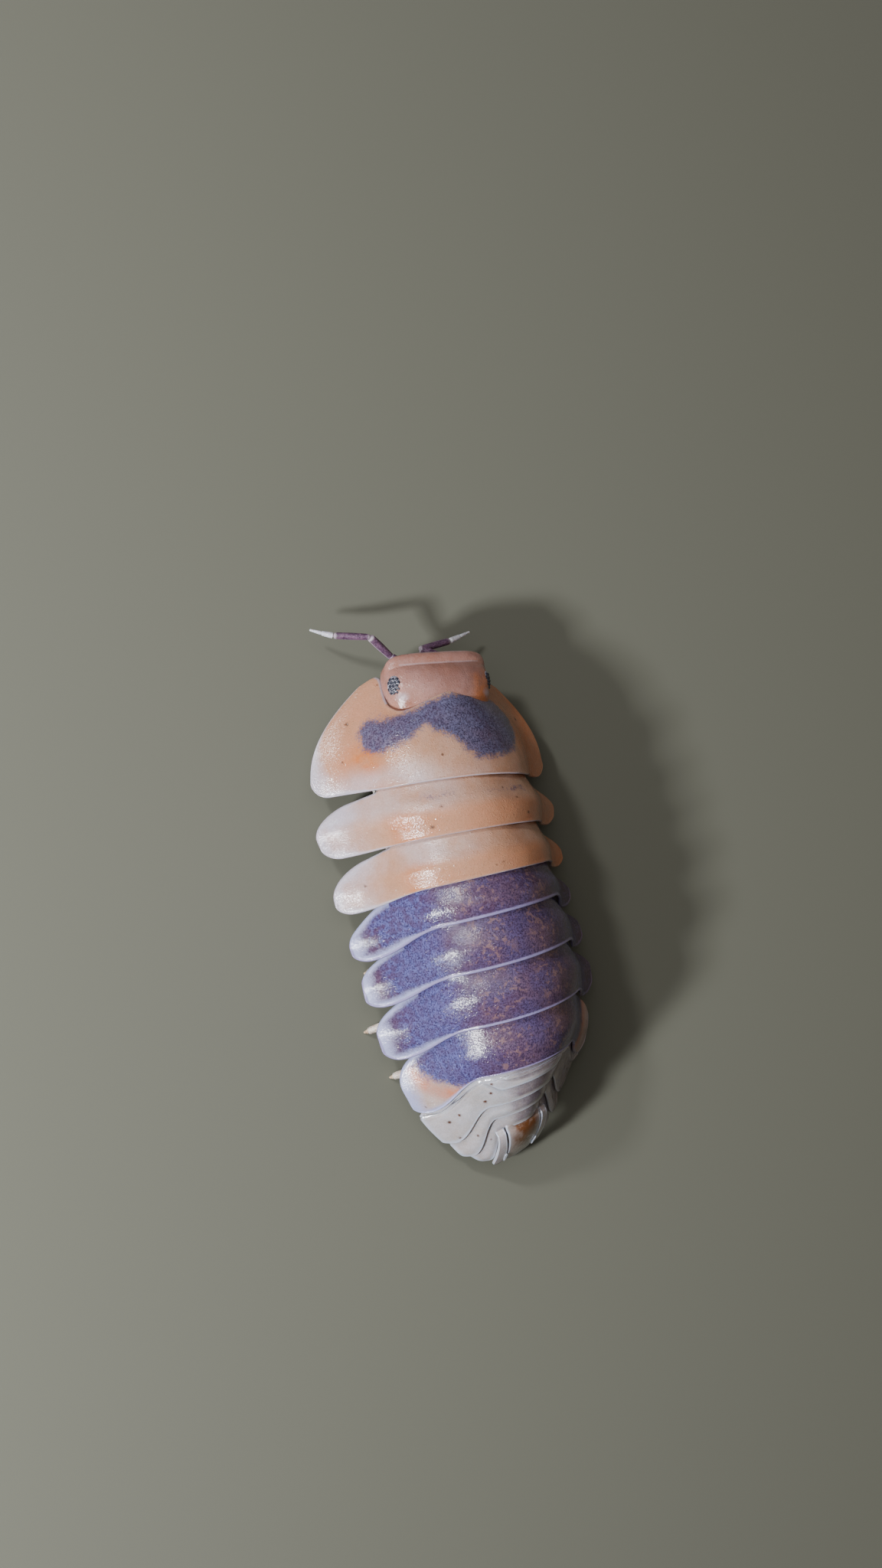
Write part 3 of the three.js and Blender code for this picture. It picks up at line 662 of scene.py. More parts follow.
# Ground, second ground, warm and pale colours, and the share of light that passes in
PEACH = ((182, 134, 106), (192, 150, 128), (194, 112, 58), (192, 182, 194), 0.30)
VIOLET = ((176, 152, 142), (190, 174, 170), (196, 112, 76), (168, 170, 208), 0.12)
CREAM = ((176, 164, 158), (190, 184, 188), (112, 70, 38), (188, 188, 200), 0.35)
SALMON = ((150, 100, 84), (166, 121, 108), (188, 104, 44), (190, 172, 178), 0.28)
peach = cuticle("peach_plate", *PEACH)
first_peach = cuticle("first_plate", *PEACH, granules=SLATE)
violet = cuticle("violet_plate", *VIOLET, mottled=True)
cream = cuticle("cream_plate", *CREAM, granules=GREY, pitted=0.5, soft=0.22)

# Markings of the first plate, as places (q, s) round the dark patch
PATCH = [(0.70, 0.36), (0.642, 0.27), (0.483, 0.23), (0.368, 0.20), (0.285, 0.17), (0.207, 0.105),
         (0.065, 0.05), (-0.115, 0.04), (-0.40, 0.045), (-0.52, 0.10), (-0.58, 0.20), (-0.55, 0.33),
         (-0.445, 0.47), (-0.31, 0.67), (-0.258, 0.72), (-0.128, 0.76), (-0.053, 0.75), (0.005, 0.68),
         (0.03, 0.56), (0.062, 0.47), (0.123, 0.40), (0.213, 0.31), (0.287, 0.44), (0.335, 0.48),
         (0.408, 0.52), (0.487, 0.54), (0.62, 0.50)]
# The pale corner of the last trunk plate
CREAM_CORNER = [(0.93, 5.95), (0.892, 6.11), (0.85, 6.32), (0.79, 6.46), (0.722, 6.63), (0.672, 6.76),
                (0.612, 6.91), (0.528, 7.0), (0.5, 7.3), (1.2, 7.3), (1.2, 5.9)]
# Brown spots seen on the pale plates: segment, place, side share, size in mm
SPOTS = [(7, 6.65, 0.895, 0.045), (7, 6.82, 0.907, 0.040), (9, 7.99, 0.345, 0.035),
         (10, 8.94, 0.363, 0.045), (10, 9.45, 0.433, 0.045), (10, 8.85, 0.703, 0.040),
         (10, 8.72, 0.808, 0.045), (10, 9.80, 0.827, 0.035), (11, 10.47, 0.695, 0.045),
         (12, 11.31, 0.44, 0.040), (12, 11.43, 0.642, 0.04), (2, 1.55, 0.86, 0.045),
         (2, 1.80, 0.30, 0.05), (3, 2.55, 0.80, 0.04), (1, 0.30, 0.84, 0.05), (1, 0.62, 0.80, 0.035),
         (3, 2.80, 0.02, 0.035), (2, 1.45, -0.22, 0.04)]


def plate_fields(i, fields, points):
    """The colour fields of segment i, from each point's place on the shell."""
    s, q, back, fore, side = (fields[k] for k in ("s", "q", "back", "fore", "side"))
    a = np.abs(q)
    t = s - (i - 1)
    wander = noise(points, 0.7, 41)
    trunk = i <= TRUNK_COUNT
    # reach is how far in the pale margin runs
    if i == 1:
        reach = 0.16 + 0.55 * ramp(t, 0.25, 0.6) * ramp(a, 0.6, 0.3)
        dark = inside(PATCH, q, s, 4.4, 2.2) + 0.07
        dark = np.maximum(dark, 0.34 * hump(q, 0.16, 0.09) * hump(s, 0.42, 0.10) - 0.42)
        # ramp(-q) puts orange on the far (right) side, painted shade; the other warm terms are the plate's
        # own orange
        warm = 0.45 * ramp(a, 0.30, 0.25) * (1 - 0.6 * ramp(a, 0.8, 0.2)) + 0.9 * ramp(-q, 0.3, 0.3)
        warm = warm + 1.2 * hump(a, 0.58, 0.16) * hump(s, 0.60, 0.16)
        edge = np.minimum(back * mix(5.0, 1.6, ramp(a, 0.4, 0.3)), np.where(a > 0.6, fore * 2.5, 9))
        # the pale veil lies on the rear, mostly on the near (left) side, and is cut off on the far side:
        # partly painted light on the lit side, partly the plate's own pale clouding
        cloud = 0.75 * ramp(t, 0.62, 0.25) * ramp(q, 0.15, 0.2) + 0.2 * ramp(t, 0.7, 0.3)
        cloud = cloud * (1 - 0.6 * warm) * (q > -0.4)
    elif i <= PEACH_COUNT:
        reach = 0.14 + 0.34 * ramp(a, 0.70, 0.25)
        band = 0.55 * hump(t, 0.25, 0.2) * (1 - ramp(a, 0.3, 0.2))
        dark = (1.0 if i == 2 else 0.6) * band - 0.6
        warm = (0.5 + 0.4 * ramp(a, 0.16, 0.25)) * (1 - ramp(a, 0.44, 0.2)) * ramp(t, 0.3, 0.3)
        # ramp(-q) puts orange on the far (right) side, painted shade; the rest is the plate's own orange
        warm = np.maximum(warm, 0.95 * ramp(-q, 0.3, 0.25))
        edge = np.minimum(back * mix(4.0, 1.3, ramp(a, 0.4, 0.3)), np.where(a > 0.6, fore * 1.3, 9))
        # the pale veil is strongest toward the near (left) front and on the left flank, and is cut off on the
        # far side: partly painted light on the lit side, partly the plate's own clouding
        cloud = 0.55 * (1 - ramp(t, 0.3, 0.3)) * smooth((q + 0.05) / 0.35) + 0.8 * ramp(a, 0.6, 0.3)
        cloud = cloud * (q > -0.4)
    elif trunk:
        reach, dark, warm, cloud = 1.0, 0.6, 0.0, 0.0
        if i == TRUNK_COUNT:
            cream_part = inside(CREAM_CORNER, a, s, 4.4, 1.3)
            dark = np.clip(-cream_part, -0.9, 0.9)
            warm = hump(cream_part, 0.10, 0.20) * 1.35
        edge = np.minimum(back / (0.10 + 0.22 * ramp(a, 0.45, 0.3)), np.where(a > 0.7, fore / 0.30, 9))
    else:
        reach = 0.12 + 0.10 * ramp(a, 0.6, 0.3)
        middle = 1 - ramp(a, 0.08, 0.36)
        # the ramp(-q) terms make the tail plates darker and warmer toward the far (right) side, painted
        # shade; the dark middle bands are the plates' own
        dark = -0.50 + 0.66 * middle * ramp(back, 0.05, 0.10) + 0.35 * ramp(-q, 0.1, 0.5)
        warm = 0.55 * ramp(-q, 0.05, 0.4) + 0.10 + 0.25 * ramp(i, 10, 3)
        edge, cloud = back * 1.2, 0.5
    # margins, weaker on the far (right) side as painted shade, and dimmed all over on the first tail plate
    purple = trunk and i > PEACH_COUNT
    far = 0.8 if i == TRUNK_COUNT + 1 else ramp(-q, 0.45, 0.2) * (1.0 if trunk else 0.5)
    edge = np.minimum(edge, side / 0.62 if purple else side)
    pale = (1 - np.clip(edge / (reach * (1.15 + 0.25 * wander)), 0, 1.3)) * (1 - 0.75 * far)
    lip = np.minimum(np.minimum(back, side), fore if i == 1 else np.inf)
    rim = (1 - ramp(lip, 0.062 if purple else 0.030, 0.03)) * (0.9 if purple else 0.15)
    # small spots, and others across from them
    spot = np.zeros_like(q)
    for k, (segment, place, share, size) in enumerate(SPOTS):
        if segment == i:
            ragged = 1 + 0.25 * noise(points, 0.06, 60 + k)
            for centre in ((place, share), (place - 0.07 + 0.03 * (k % 5), -share)):
                away = np.linalg.norm((points - shell(*np.array(centre))) * [1, 1, 0.8], axis=-1) * ragged
                spot = np.maximum(spot, 1 - ramp(away, size * 0.6, size * 0.7))
    ruddy = 0.3 * ramp(a, 0.72, 0.1) * (1 - ramp(a, 0.90, 0.05)) + ramp(a, 0.05, 0.1) * 0.3
    return {
        "cloud": cloud,
        "pale": np.where(fields["under"], 0.6, pale),
        "dark": dark + 0.10 * wander,
        "warm": np.clip(warm * (0.8 + 0.4 * noise(points, 0.9, 43)), 0, 1.6),
        # blue on the flanks, next to where the highlights fall, is a painted sky sheen; on the first plate it
        # is the patch's own tint
        "blue_tint_and_sheen": 0.12 if i == 1 else ramp(a, 0.34, 0.18) * (1 - ramp(a, 0.80, 0.10)),
        "ruddy": ruddy + (0.2 if i == 4 else 0.0),
        "mottle": np.exp(-((a - 0.17) / 0.13) ** 4) * ramp(back, 0.1, 0.1),
        # the rim is dimmed on the far (right) side too, painted shade
        "rim": rim * (1 - 0.5 * far),
        "fleck": 0.25 if purple else 1.0,
        "spot": spot * (1 - fields["under"]),
    }


PLATE_NODES = [f"pereonite_{i}" for i in range(1, 8)] + [f"pleonite_{i}" for i in range(1, 6)]
for i in range(1, PLATE_COUNT + 1):
    finish = first_peach if i == 1 else peach if i <= PEACH_COUNT else violet if i <= TRUNK_COUNT else cream
    slot = "shell_peach" if i <= PEACH_COUNT else "shell_purple" if i <= TRUNK_COUNT else "shell_cream"
    points, faces, fields = plate(i)
    tint = plate_fields(i, fields, points)
    make(f"plate_{i:02d}", points, faces, finish, slot, tint, [PLATE_NODES[i - 1]])


# The soft body under the plates: one skin with folds between its rings
# Share from the middle, with how far out (in half widths) and how far down (in depths) the trunk lies there
TRUNK_SIDE = np.array([(0, 0, 0.9), (0.4, 0.34, 0.9), (0.62, 0.52, 0.87), (0.8, 0.6, 0.76), (1, 0.66, 0.62)])
CORE_EDGE = 0.72
SKIN_DEPTH = 0.40                  # from the shell's envelope to the skin's back, mm


def trunk_side(share):
    """How far out and how far down the trunk's side lies, from its middle (0) to its root (1)."""
    return [np.interp(share, TRUNK_SIDE[:, 0], TRUNK_SIDE[:, k]) for k in (1, 2)]


def body_skin():
    s = np.linspace(0.03, 12.35, 420)[:, None]
    out, down = trunk_side(np.linspace(0, 1, 60))
    out = np.concatenate([-out[:0:-1], out])
    down = np.concatenate([down[:0:-1], down])
    rim = rim_at(s)
    depth = depth_of(rim)
    fold = hump(s, np.round(s), 0.08)
    end = ramp(s, 0.03, 0.25) * (1 - ramp(s, 11.9, 0.5))
    low = from_rim(rim, out * rim[..., HALF] * (1 - 0.03 * fold), 0.0, -down * depth * (1 - 0.035 * fold))
    top = shell(*np.broadcast_arrays(s, np.linspace(0.70, -0.70, 90)))
    core = from_rim(rim, 0.0, 0.0, -0.62 * depth)
    high = top + unit(core - top) * (SKIN_DEPTH + 0.03 * fold)[..., None]
    ring = np.concatenate([low, high], axis=1)
    middle = ring.mean(axis=1, keepdims=True)
    ring = middle + (ring - middle) * np.sqrt(end)[..., None]
    return np.concatenate([ring.reshape(-1, 3), middle[0], middle[-1]]), tube_faces(*ring.shape[:2])


def skin_finish(name, ground, deep, subsurface=0.35):
    look = Look(name, rough=0.45, coat=0.1, subsurface=subsurface, reach=0.0003)
    broad = look.noise(0.5, 3, 0.6)
    fine = look.noise(0.06, 2, 0.6, offset=4.0)
    base = look.blend(look.step(broad, 0.35, 0.75), ground, deep)
    look.colour(look.shade(base, look.add(0.86, look.mul(fine, 0.28))))
    look.rough(look.add(0.40, look.mul(fine, 0.2)))
    look.bump(look.add(fine, look.mul(broad, 1.5)), 0.010)
    return look.material


belly_skin = skin_finish("belly_skin", (214, 206, 198), (182, 168, 160))
make("body_skin", *body_skin(), belly_skin, "limb", {}, PLATE_NODES)

# Head
HEAD_X, HEAD_Y, HEAD_TURN = -0.77, -5.75, math.radians(-12.5)
HEAD_AHEAD = np.array([math.sin(HEAD_TURN), -math.cos(HEAD_TURN), 0])
HEAD_LEFT = np.array([math.cos(HEAD_TURN), math.sin(HEAD_TURN), 0])
HEAD_HALF = 1.46
HEAD_DROP = 0.20
HEAD_ROUNDING = 4.8
CROWN_ROUNDING = 2.7
POLE = np.array([0.3, 1.62])
# The head's middle section, as (forward, height)
HEAD_LOOP = np.array([
    (-0.62, 2.30), (-0.30, 2.48), (-0.06, 2.50), (0.02, 2.497), (0.10, 2.488), (0.24, 2.455), (0.42, 2.37),
    (0.56, 2.275), (0.66, 2.175), (0.705, 2.115), (0.75, 2.105), (0.84, 2.10), (0.93, 2.065), (0.995, 2.01),
    (1.02, 1.94), (1.0, 1.87), (0.965, 1.76), (0.93, 1.60), (0.88, 1.46), (0.80, 1.28), (0.72, 1.12),
    (0.62, 0.97), (0.50, 0.88), (0.3, 0.84), (0.05, 0.86), (-0.2, 0.92), (-0.42, 1.15), (-0.55, 1.5),
    (-0.62, 1.9)])


def head_point(across, forward, height):
    across, forward, height = np.broadcast_arrays(across, forward, height)
    return np.stack([
        HEAD_X + across * math.cos(HEAD_TURN) + forward * math.sin(HEAD_TURN),
        HEAD_Y + across * math.sin(HEAD_TURN) - forward * math.cos(HEAD_TURN),
        height], -1)


def closed_curve(knots, count):
    """A smooth closed curve through knots, evenly divided."""
    n = len(knots)
    t = np.linspace(0, n, 12 * n, endpoint=False)
    i = np.floor(t).astype(int)
    fine = spline(*(knots[(i + k) % n] for k in (-1, 0, 1, 2)), (t - i)[:, None])
    fine = np.vstack([fine, fine[:1]])
    run = lengths(fine)
    at = np.linspace(0, run[-1], count, endpoint=False)
    return np.stack([np.interp(at, run, fine[:, k]) for k in (0, 1)], -1)


def head_surface(c, loop):
    """Points of the head for places c across (-1 to 1) on a loop in (forward, height)."""
    share = (1 - np.abs(c) ** HEAD_ROUNDING) ** (1 / HEAD_ROUNDING)
    crown = (1 - np.abs(c) ** CROWN_ROUNDING) ** (1 / CROWN_ROUNDING)
    away = (loop - POLE) * np.stack([share, crown], -1)[:, None, :]
    drop = HEAD_DROP * (c * c)[:, None] * np.clip(away[..., 1], 0, 1)
    forward = POLE[0] + away[..., 0]
    height = POLE[1] + away[..., 1] - drop
    across = np.broadcast_to((c * HEAD_HALF)[:, None], forward.shape)
    return across, forward, height


def head_mesh():
    loop = closed_curve(HEAD_LOOP, 260)
    c = np.sin(np.linspace(-1, 1, 241) * math.pi / 2)[1:-1]
    across, forward, height = head_surface(c, loop[None])
    faces = tube_faces(*across.shape)
    points = head_point(across, forward, height)
    # cheeks swell a little round the eyes, and the face has a low middle boss
    cheek = hump(np.abs(across), 1.30, 0.22) * hump(forward, 0.16, 0.4) * hump(height, 1.95, 0.3)
    points[..., 2] += 0.05 * cheek
    boss = 0.05 * hump(across, 0, 0.5) * hump(height, 1.35, 0.3) * (forward > 0.5)
    points = points + boss[..., None] * HEAD_AHEAD
    rough = 0.008 * noise(points, 0.35, 71) + 0.004 * noise(points, 0.14, 72)
    points = points + unit(points - head_point(0, 0.2, 1.6)) * rough[..., None]
    ends = [head_point(side * HEAD_HALF, *POLE) for side in (-1, 1)]
    points = np.concatenate([points.reshape(-1, 3), ends])
    # colour fields, from each point's place on the head
    across = np.append(across, [-HEAD_HALF, HEAD_HALF])
    a = np.abs(across)
    f = np.append(forward, [POLE[0]] * 2)
    h = np.append(height, [POLE[1]] * 2)
    top = ramp(h, 1.75, 0.25)
    # far: a warmer orange toward the head's far (right) side, painted shade
    far = 1.6 * ramp(-across, 0.5, 0.5) * smooth((0.6 - f) / 0.3)
    return points, faces, {
        "dark": 0.16 * top * (f > 0.7) - 0.7,
        "warm": 0.15 + far + 0.2 * ramp(a, 1.1, 0.3) * (f < 0.2),
        "pale": 0.65 * hump(a, 1.22, 0.22) * hump(f, -0.12, 0.18) * top + 0.5 * (1 - ramp(h, 1.0, 0.7)),
        "rim": (0.6 * hump(f, 0.725, 0.018) * (a < 1.15) + 0.5 * hump(f, 1.01, 0.02)) * top,
        "cloud": 0.25, "fleck": 1.0, "blue_tint_and_sheen": 0.0, "ruddy": 0.0, "spot": 0.0,
    }


salmon = cuticle("head_plate", *SALMON)
points, faces, fields = head_mesh()
make("head_shell", points, faces, salmon, "head_shell", fields, ["head"])


def sphere(centre, radii, turn, rows, cols):
    """An ellipsoid; the rows of turn are its axes."""
    lat, lon = np.meshgrid(np.linspace(0, math.pi, rows)[1:-1],
                           np.linspace(0, 2 * math.pi, cols, endpoint=False), indexing="ij")
    p = np.stack([np.sin(lat) * np.cos(lon), np.sin(lat) * np.sin(lon), np.cos(lat)], -1).reshape(-1, 3)
    p = np.vstack([p, [[0, 0, 1], [0, 0, -1]]]) * radii
    return p @ turn + centre, [f[:, ::-1] for f in tube_faces(rows - 2, cols)]


# Eyes: a low cushion with rows of separate lenses
EYE_ACROSS, EYE_FORWARD, EYE_HEIGHT = 1.345, 0.185, 1.975
EYE_SINK = 0.015
EYE_SIZE = np.array([0.215, 0.290, 0.095])
EYE_TURN = math.radians(50)
LENS_PITCH, LENS_SINK = 0.098, 0.012
LENS_SIZE = np.array([0.049, 0.049, 0.038])
lens_look = Look("eye_lens", rough=0.12, coat=0.6, coat_rough=0.05)
lens_grain = lens_look.add(0.6, lens_look.mul(lens_look.noise(0.05, 2, 0.5), 0.9))
lens_look.colour(lens_look.shade((40, 42, 56), lens_grain))
cushion_look = Look("eye_cushion", rough=0.35, coat=0.3)
cushion_grain = cushion_look.noise(0.03, 2, 0.6)
cushion_spots = cushion_look.step(cushion_grain, 0.4, 0.65)
cushion_look.colour(cushion_look.blend(cushion_spots, (96, 92, 104), (176, 172, 184)))
cushion_look.bump(cushion_grain, 0.006)


def lens(x, y, level):
    """One lens of an eye in the eye's own axes; level is 0 in the middle of the eye and 1 at its edge."""
    place = np.array([x, y, EYE_SIZE[2] * 0.9 * math.sqrt(1 - level)])
    out = unit(place / EYE_SIZE ** 2)
    first = unit(np.cross([0, 1, 0], out))
    return sphere(place - out * LENS_SINK, LENS_SIZE, np.array([first, np.cross(out, first), out]), 12, 18)


for name, side in SIDES:
    out = HEAD_LEFT * side * math.sin(EYE_TURN) + np.array([0, 0, math.cos(EYE_TURN)])
    axes = np.array([np.cross(HEAD_AHEAD, out), HEAD_AHEAD, out])
    centre = head_point(side * EYE_ACROSS, EYE_FORWARD, EYE_HEIGHT) - EYE_SINK * out
    p, f = sphere(centre, EYE_SIZE * [0.94, 0.94, 0.9], axes, 28, 40)
    make(f"eye_cushion_{name}", p, f, cushion_look.material, "eye", {}, [f"eye_{name}"])
    lenses = []
    for row in range(-3, 4):
        for col in range(-3, 4):
            x = (col + 0.5 * (row % 2)) * LENS_PITCH * 0.98
            y = row * LENS_PITCH * 0.88
            level = (x / (EYE_SIZE[0] * 0.90)) ** 2 + (y / (EYE_SIZE[1] * 0.93)) ** 2
            if level <= 0.93:
                p, f = lens(x, y, level)
                lenses.append((p @ axes + centre, f, {}))
    p, f, fields = join(lenses)
    make(f"eye_lenses_{name}", p, f, lens_look.material, "eye", fields, [f"eye_{name}"])


# Jointed limbs
LIMB_ROWS, LIMB_COLS = 26, 26


def article(a, b, r_root, r_end, flat, swell):
    """One article of a limb: a slightly swollen, end-rounded tube, with place along it and round it."""
    length = np.linalg.norm(b - a)
    axis = (b - a) / length
    side = unit(np.cross(axis, [0, 0, 1.0]))
    top = np.cross(side, axis)
    t = np.linspace(0, 1, LIMB_ROWS)
    profile = mix(r_root, r_end, smooth(t)) + swell * (r_root + r_end) / 2 * np.sin(math.pi * t) ** 1.2
    profile = profile * np.maximum(ease_in(t, 0.10, 0.0) * ease_in(t, 0.93, 1.0), 0.03)
    lon = np.linspace(0, 2 * math.pi, LIMB_COLS, endpoint=False)
    ring = np.cos(lon)[:, None] * side * flat + np.sin(lon)[:, None] * top
    points = a + axis * (t[:, None, None] * length) + ring * profile[:, None, None]
    return np.concatenate([points.reshape(-1, 3), [a, b]]), tube_faces(LIMB_ROWS, LIMB_COLS), {
        "along": np.append(np.repeat(t, LIMB_COLS), [0, 1]),
        "upper": np.append(np.tile(np.sin(lon), LIMB_ROWS), [0, 0]),
    }


def limb(points, radii, flat=1.0, overlap=0.35, swell=0.12):
    """Articles from point to point, each rooted a little inside the one before it."""
    parts = []
    for k, (a, b) in enumerate(zip(points[:-1], points[1:])):
        axis = unit(b - a)
        start = a - axis * overlap * radii[k] * (k > 0)
        end = b + axis * 0.12 * radii[k + 1]
        root = radii[k] * (0.80 if k else 1.0)
        parts.append(article(start, end, root, radii[k + 1], flat, swell))
    return join(parts)


def limb_finish(name, ground, deep, joint, subsurface=0.2, streak=0.5):
    look = Look(name, rough=0.42, coat=0.15, subsurface=subsurface, reach=0.00025)
    fine = look.noise(0.035, 3, 0.6, offset=9.0)
    middle = look.noise(0.11, 2, 0.5, offset=3.0)
    base = look.blend(look.step(look.add(fine, look.mul(middle, 0.6)), 0.62, 1.0), deep, ground)
    ends = look.add(look.step(look.attr("along"), 0.88, 0.97), look.step(look.attr("along"), 0.14, 0.05))
    base = look.blend(look.mul(ends, 0.55), base, joint)
    ridge = look.step(look.math("ABSOLUTE", look.attr("upper")), 0.32, 0.06)
    base = look.blend(look.mul(ridge, streak), base, joint)
    look.colour(look.shade(base, look.add(0.85, look.mul(fine, 0.3))))
    look.rough(look.add(0.36, look.mul(fine, 0.2)))
    look.bump(look.add(fine, look.mul(middle, 1.4)), 0.008)
    return look.material


feeler_finish = limb_finish("feeler_skin", (124, 92, 118), (72, 48, 72), (206, 190, 200))
tip_finish = limb_finish("feeler_tip", (226, 224, 230), (190, 184, 196), (240, 240, 244), streak=0.2)
leg_finish = limb_finish("leg_skin", (222, 212, 200), (180, 158, 146), (236, 230, 222), 0.3, 0.15)
claw_finish = limb_finish("claw_skin", (206, 184, 158), (170, 136, 108), (214, 196, 176), 0.1, 0.1)

# The feelers' bends, as (across, forward, height) on the head
FEELERS = {
    "left": [(0.62, 0.70, 1.24), (0.78, 0.86, 1.17), (0.94, 1.0, 1.12), (1.62, 1.53, 1.35), (2.49, 1.64, 1.0),
             (2.76, 1.73, 0.87), (3.03, 1.84, 0.73)],
    "right": [(-0.62, 0.70, 1.22), (-0.55, 0.86, 1.12), (-0.50, 0.98, 1.04), (-0.02, 1.18, 0.90),
              (-0.94, 1.36, 0.84), (-1.30, 1.47, 0.74), (-1.66, 1.59, 0.63)],
}
FEELER_RADII = [0.14, 0.13, 0.115, 0.11, 0.095, 0.065, 0.03]
for name, side in SIDES:
    route = [head_point(*p) for p in FEELERS[name]]
    p, f, fields = limb(route[:5], FEELER_RADII[:5], flat=0.92)
    make(f"feeler_{name}", p, f, feeler_finish, "feeler", fields, [f"antenna_{name}"])
    tip_radii = [FEELER_RADII[4] * 0.85] + FEELER_RADII[5:]
    p, f, fields = limb(route[4:], tip_radii, flat=0.95, overlap=0.1, swell=0.05)
    make(f"feeler_tip_{name}", p, f, tip_finish, "feeler", fields, [f"antenna_{name}"])

# Mouthparts: jaw-feet with short palps
JAW_SIZE = np.array([0.33, 0.50, 0.20])
JAW_CREASE, JAW_CREASE_WIDTH = 0.22, 0.05
JAW_PLACE = (0.32, 0.24, 0.76)
PALP = [(0.30, 0.62, 0.78), (0.24, 0.80, 0.74), (0.16, 0.93, 0.74)]
PALP_RADII = [0.12, 0.09, 0.04]
mouth_parts = []
for name, side in SIDES:
    p, f = sphere(0, JAW_SIZE, np.eye(3), 26, 36)
    p[:, 2] *= 1 - 0.12 * hump(p[:, 1], JAW_CREASE, JAW_CREASE_WIDTH)
    p = p @ np.array([HEAD_LEFT, HEAD_AHEAD, [0, 0, 1]]) + head_point(side * JAW_PLACE[0], *JAW_PLACE[1:])
    mouth_parts.append((p, [x[:, ::-1] for x in f], {"along": 0.5, "upper": 0.5}))
    mouth_parts.append(limb([head_point(side * x, y, z) for x, y, z in PALP], PALP_RADII))
p, f, fields = join(mouth_parts)
make("mouth", p, f, leg_finish, "limb", fields, ["mouthparts"])

# Legs
ROOT_GAP = 0.31
KNEE_HEIGHT = 0.78
SHIN_HEIGHT = 0.44
LEG_RADII = [0.22, 0.20, 0.19, 0.165, 0.125, 0.09]
CLAW_RADII = [0.065, 0.028]
# How far out (share of the half width) and how far back (mm) each foot stands
LEG_REACH = {"left": [0.80, 0.82, 0.76, 0.82, 0.84, 0.99, 0.97],
             "right": [0.84, 0.84, 0.84, 0.84, 0.84, 0.86, 0.86]}
LEG_SWING = {"left": [-0.1, 0.25, 0.2, 0.3, 0.23, 0.36, 0.25],
             "right": [0.2, -0.2, 0.25, -0.1, 0.3, 0.05, 0.35]}


def trunk_point(s, q):
    rim = rim_at(s)
    out, down = trunk_side(abs(q) / CORE_EDGE)
    return from_rim(rim, math.copysign(out, q) * rim[HALF], 0.0, -down * depth_of(rim))


for name, side in SIDES:
    for i in range(1, TRUNK_COUNT + 1):
        place = 0.62 if i == 1 else i - 0.5
        rim = rim_at(place)
        heading = math.radians(rim[HEADING])
        belly = trunk_point(place, side * 0.5 * CORE_EDGE)
        half = side * rim[HALF]
        reach = LEG_REACH[name][i - 1] - 0.42
        swing = LEG_SWING[name][i - 1]

        def out(share, back, height):
            return np.array([belly[0] + half * share * math.cos(heading) - back * math.sin(heading),
                             belly[1] + half * share * math.sin(heading) + back * math.cos(heading), height])

        route = [
            out(0.0, 0.0, belly[2] - ROOT_GAP + 0.24),
            out(0.07, 0.1 * swing, belly[2] - ROOT_GAP - 0.02),
            out(0.2, 0.3 * swing, KNEE_HEIGHT + 0.02),
            out(mix(0.2, reach, 0.36), 0.55 * swing, mix(KNEE_HEIGHT, SHIN_HEIGHT, 0.6)),
            out(mix(0.2, reach, 0.72), 0.85 * swing, mix(KNEE_HEIGHT, SHIN_HEIGHT, 1.15) - 0.06),
            out(reach * 0.97, 0.98 * swing, 0.11),
        ]
        p, f, fields = limb(route, LEG_RADII, swell=0.10)
        make(f"leg_skin_{name}_{i}", p, f, leg_finish, "limb", fields, [f"leg_{name}_{i}"])
        claw = [route[-1] + [0, 0, 0.02], out(reach + 0.012, swing, 0.018)]
        p, f, fields = limb(claw, CLAW_RADII, swell=0.02)
        p[:, 2] = np.maximum(p[:, 2], 0.0)
        make(f"claw_{name}_{i}", p, f, claw_finish, "limb", fields, [f"leg_{name}_{i}"])

# Tail plate and tail feet
TAIL_X, TAIL_Y, TAIL_HEIGHT, TAIL_TURN = 0.14, 6.58, 0.62, 11.0


def telson_half(t):
    return mix(0.56, 0.44, smooth(t))


def telson_point(t, across):
    root = SPINE[LAST_RIM]
    heading = np.radians(mix(root[HEADING], TAIL_TURN, t))
    y = mix(root[Y] + 0.06, TAIL_Y, t)
    drop = np.sign(t) * np.abs(t) ** 1.6
    height = mix(root[HEIGHT] - 0.1, TAIL_HEIGHT, drop) - 0.3 * across ** 2
    x = mix(root[X], TAIL_X, t)
    return np.stack([x + across * np.cos(heading), y + across * np.sin(heading), height], -1)


def slab(place, rows, cols, thickness, bead=0.012):
    """A thin plate with rounded margins; place maps (t, c) on 0 to 1 squares to points."""
    t, c = np.meshgrid(np.linspace(0, 1, rows), np.linspace(0, 1, cols), indexing="ij")
    p = place(t, c)
    eps = 1e-3
    du = place(np.clip(t + eps, 0, 1), c) - place(np.clip(t - eps, 0, 1), c)
    dv = place(t, np.clip(c + eps, 0, 1)) - place(t, np.clip(c - eps, 0, 1))
    cross = np.cross(du, dv)
    normal = unit(cross)
    normal = np.where(normal[..., 2:] < 0, -normal, normal)
    down = lengths(p)
    over = lengths(np.swapaxes(p, 0, 1)).T
    back = down[-1] - down
    side = np.minimum(over, over[:, -1:] - over)
    lip = bead * (1 - ramp(np.minimum(back, side), 0.03, 0.03))
    points, faces, fields = sheet(p, normal, thickness, 0.0, lip, 0.0, (back, down, side),
                                  {"back": back, "side": side, "t": t, "c": c})
    if cross[..., 2].sum() < 0:
        faces = [f[:, ::-1] for f in faces]
    return points, faces, fields


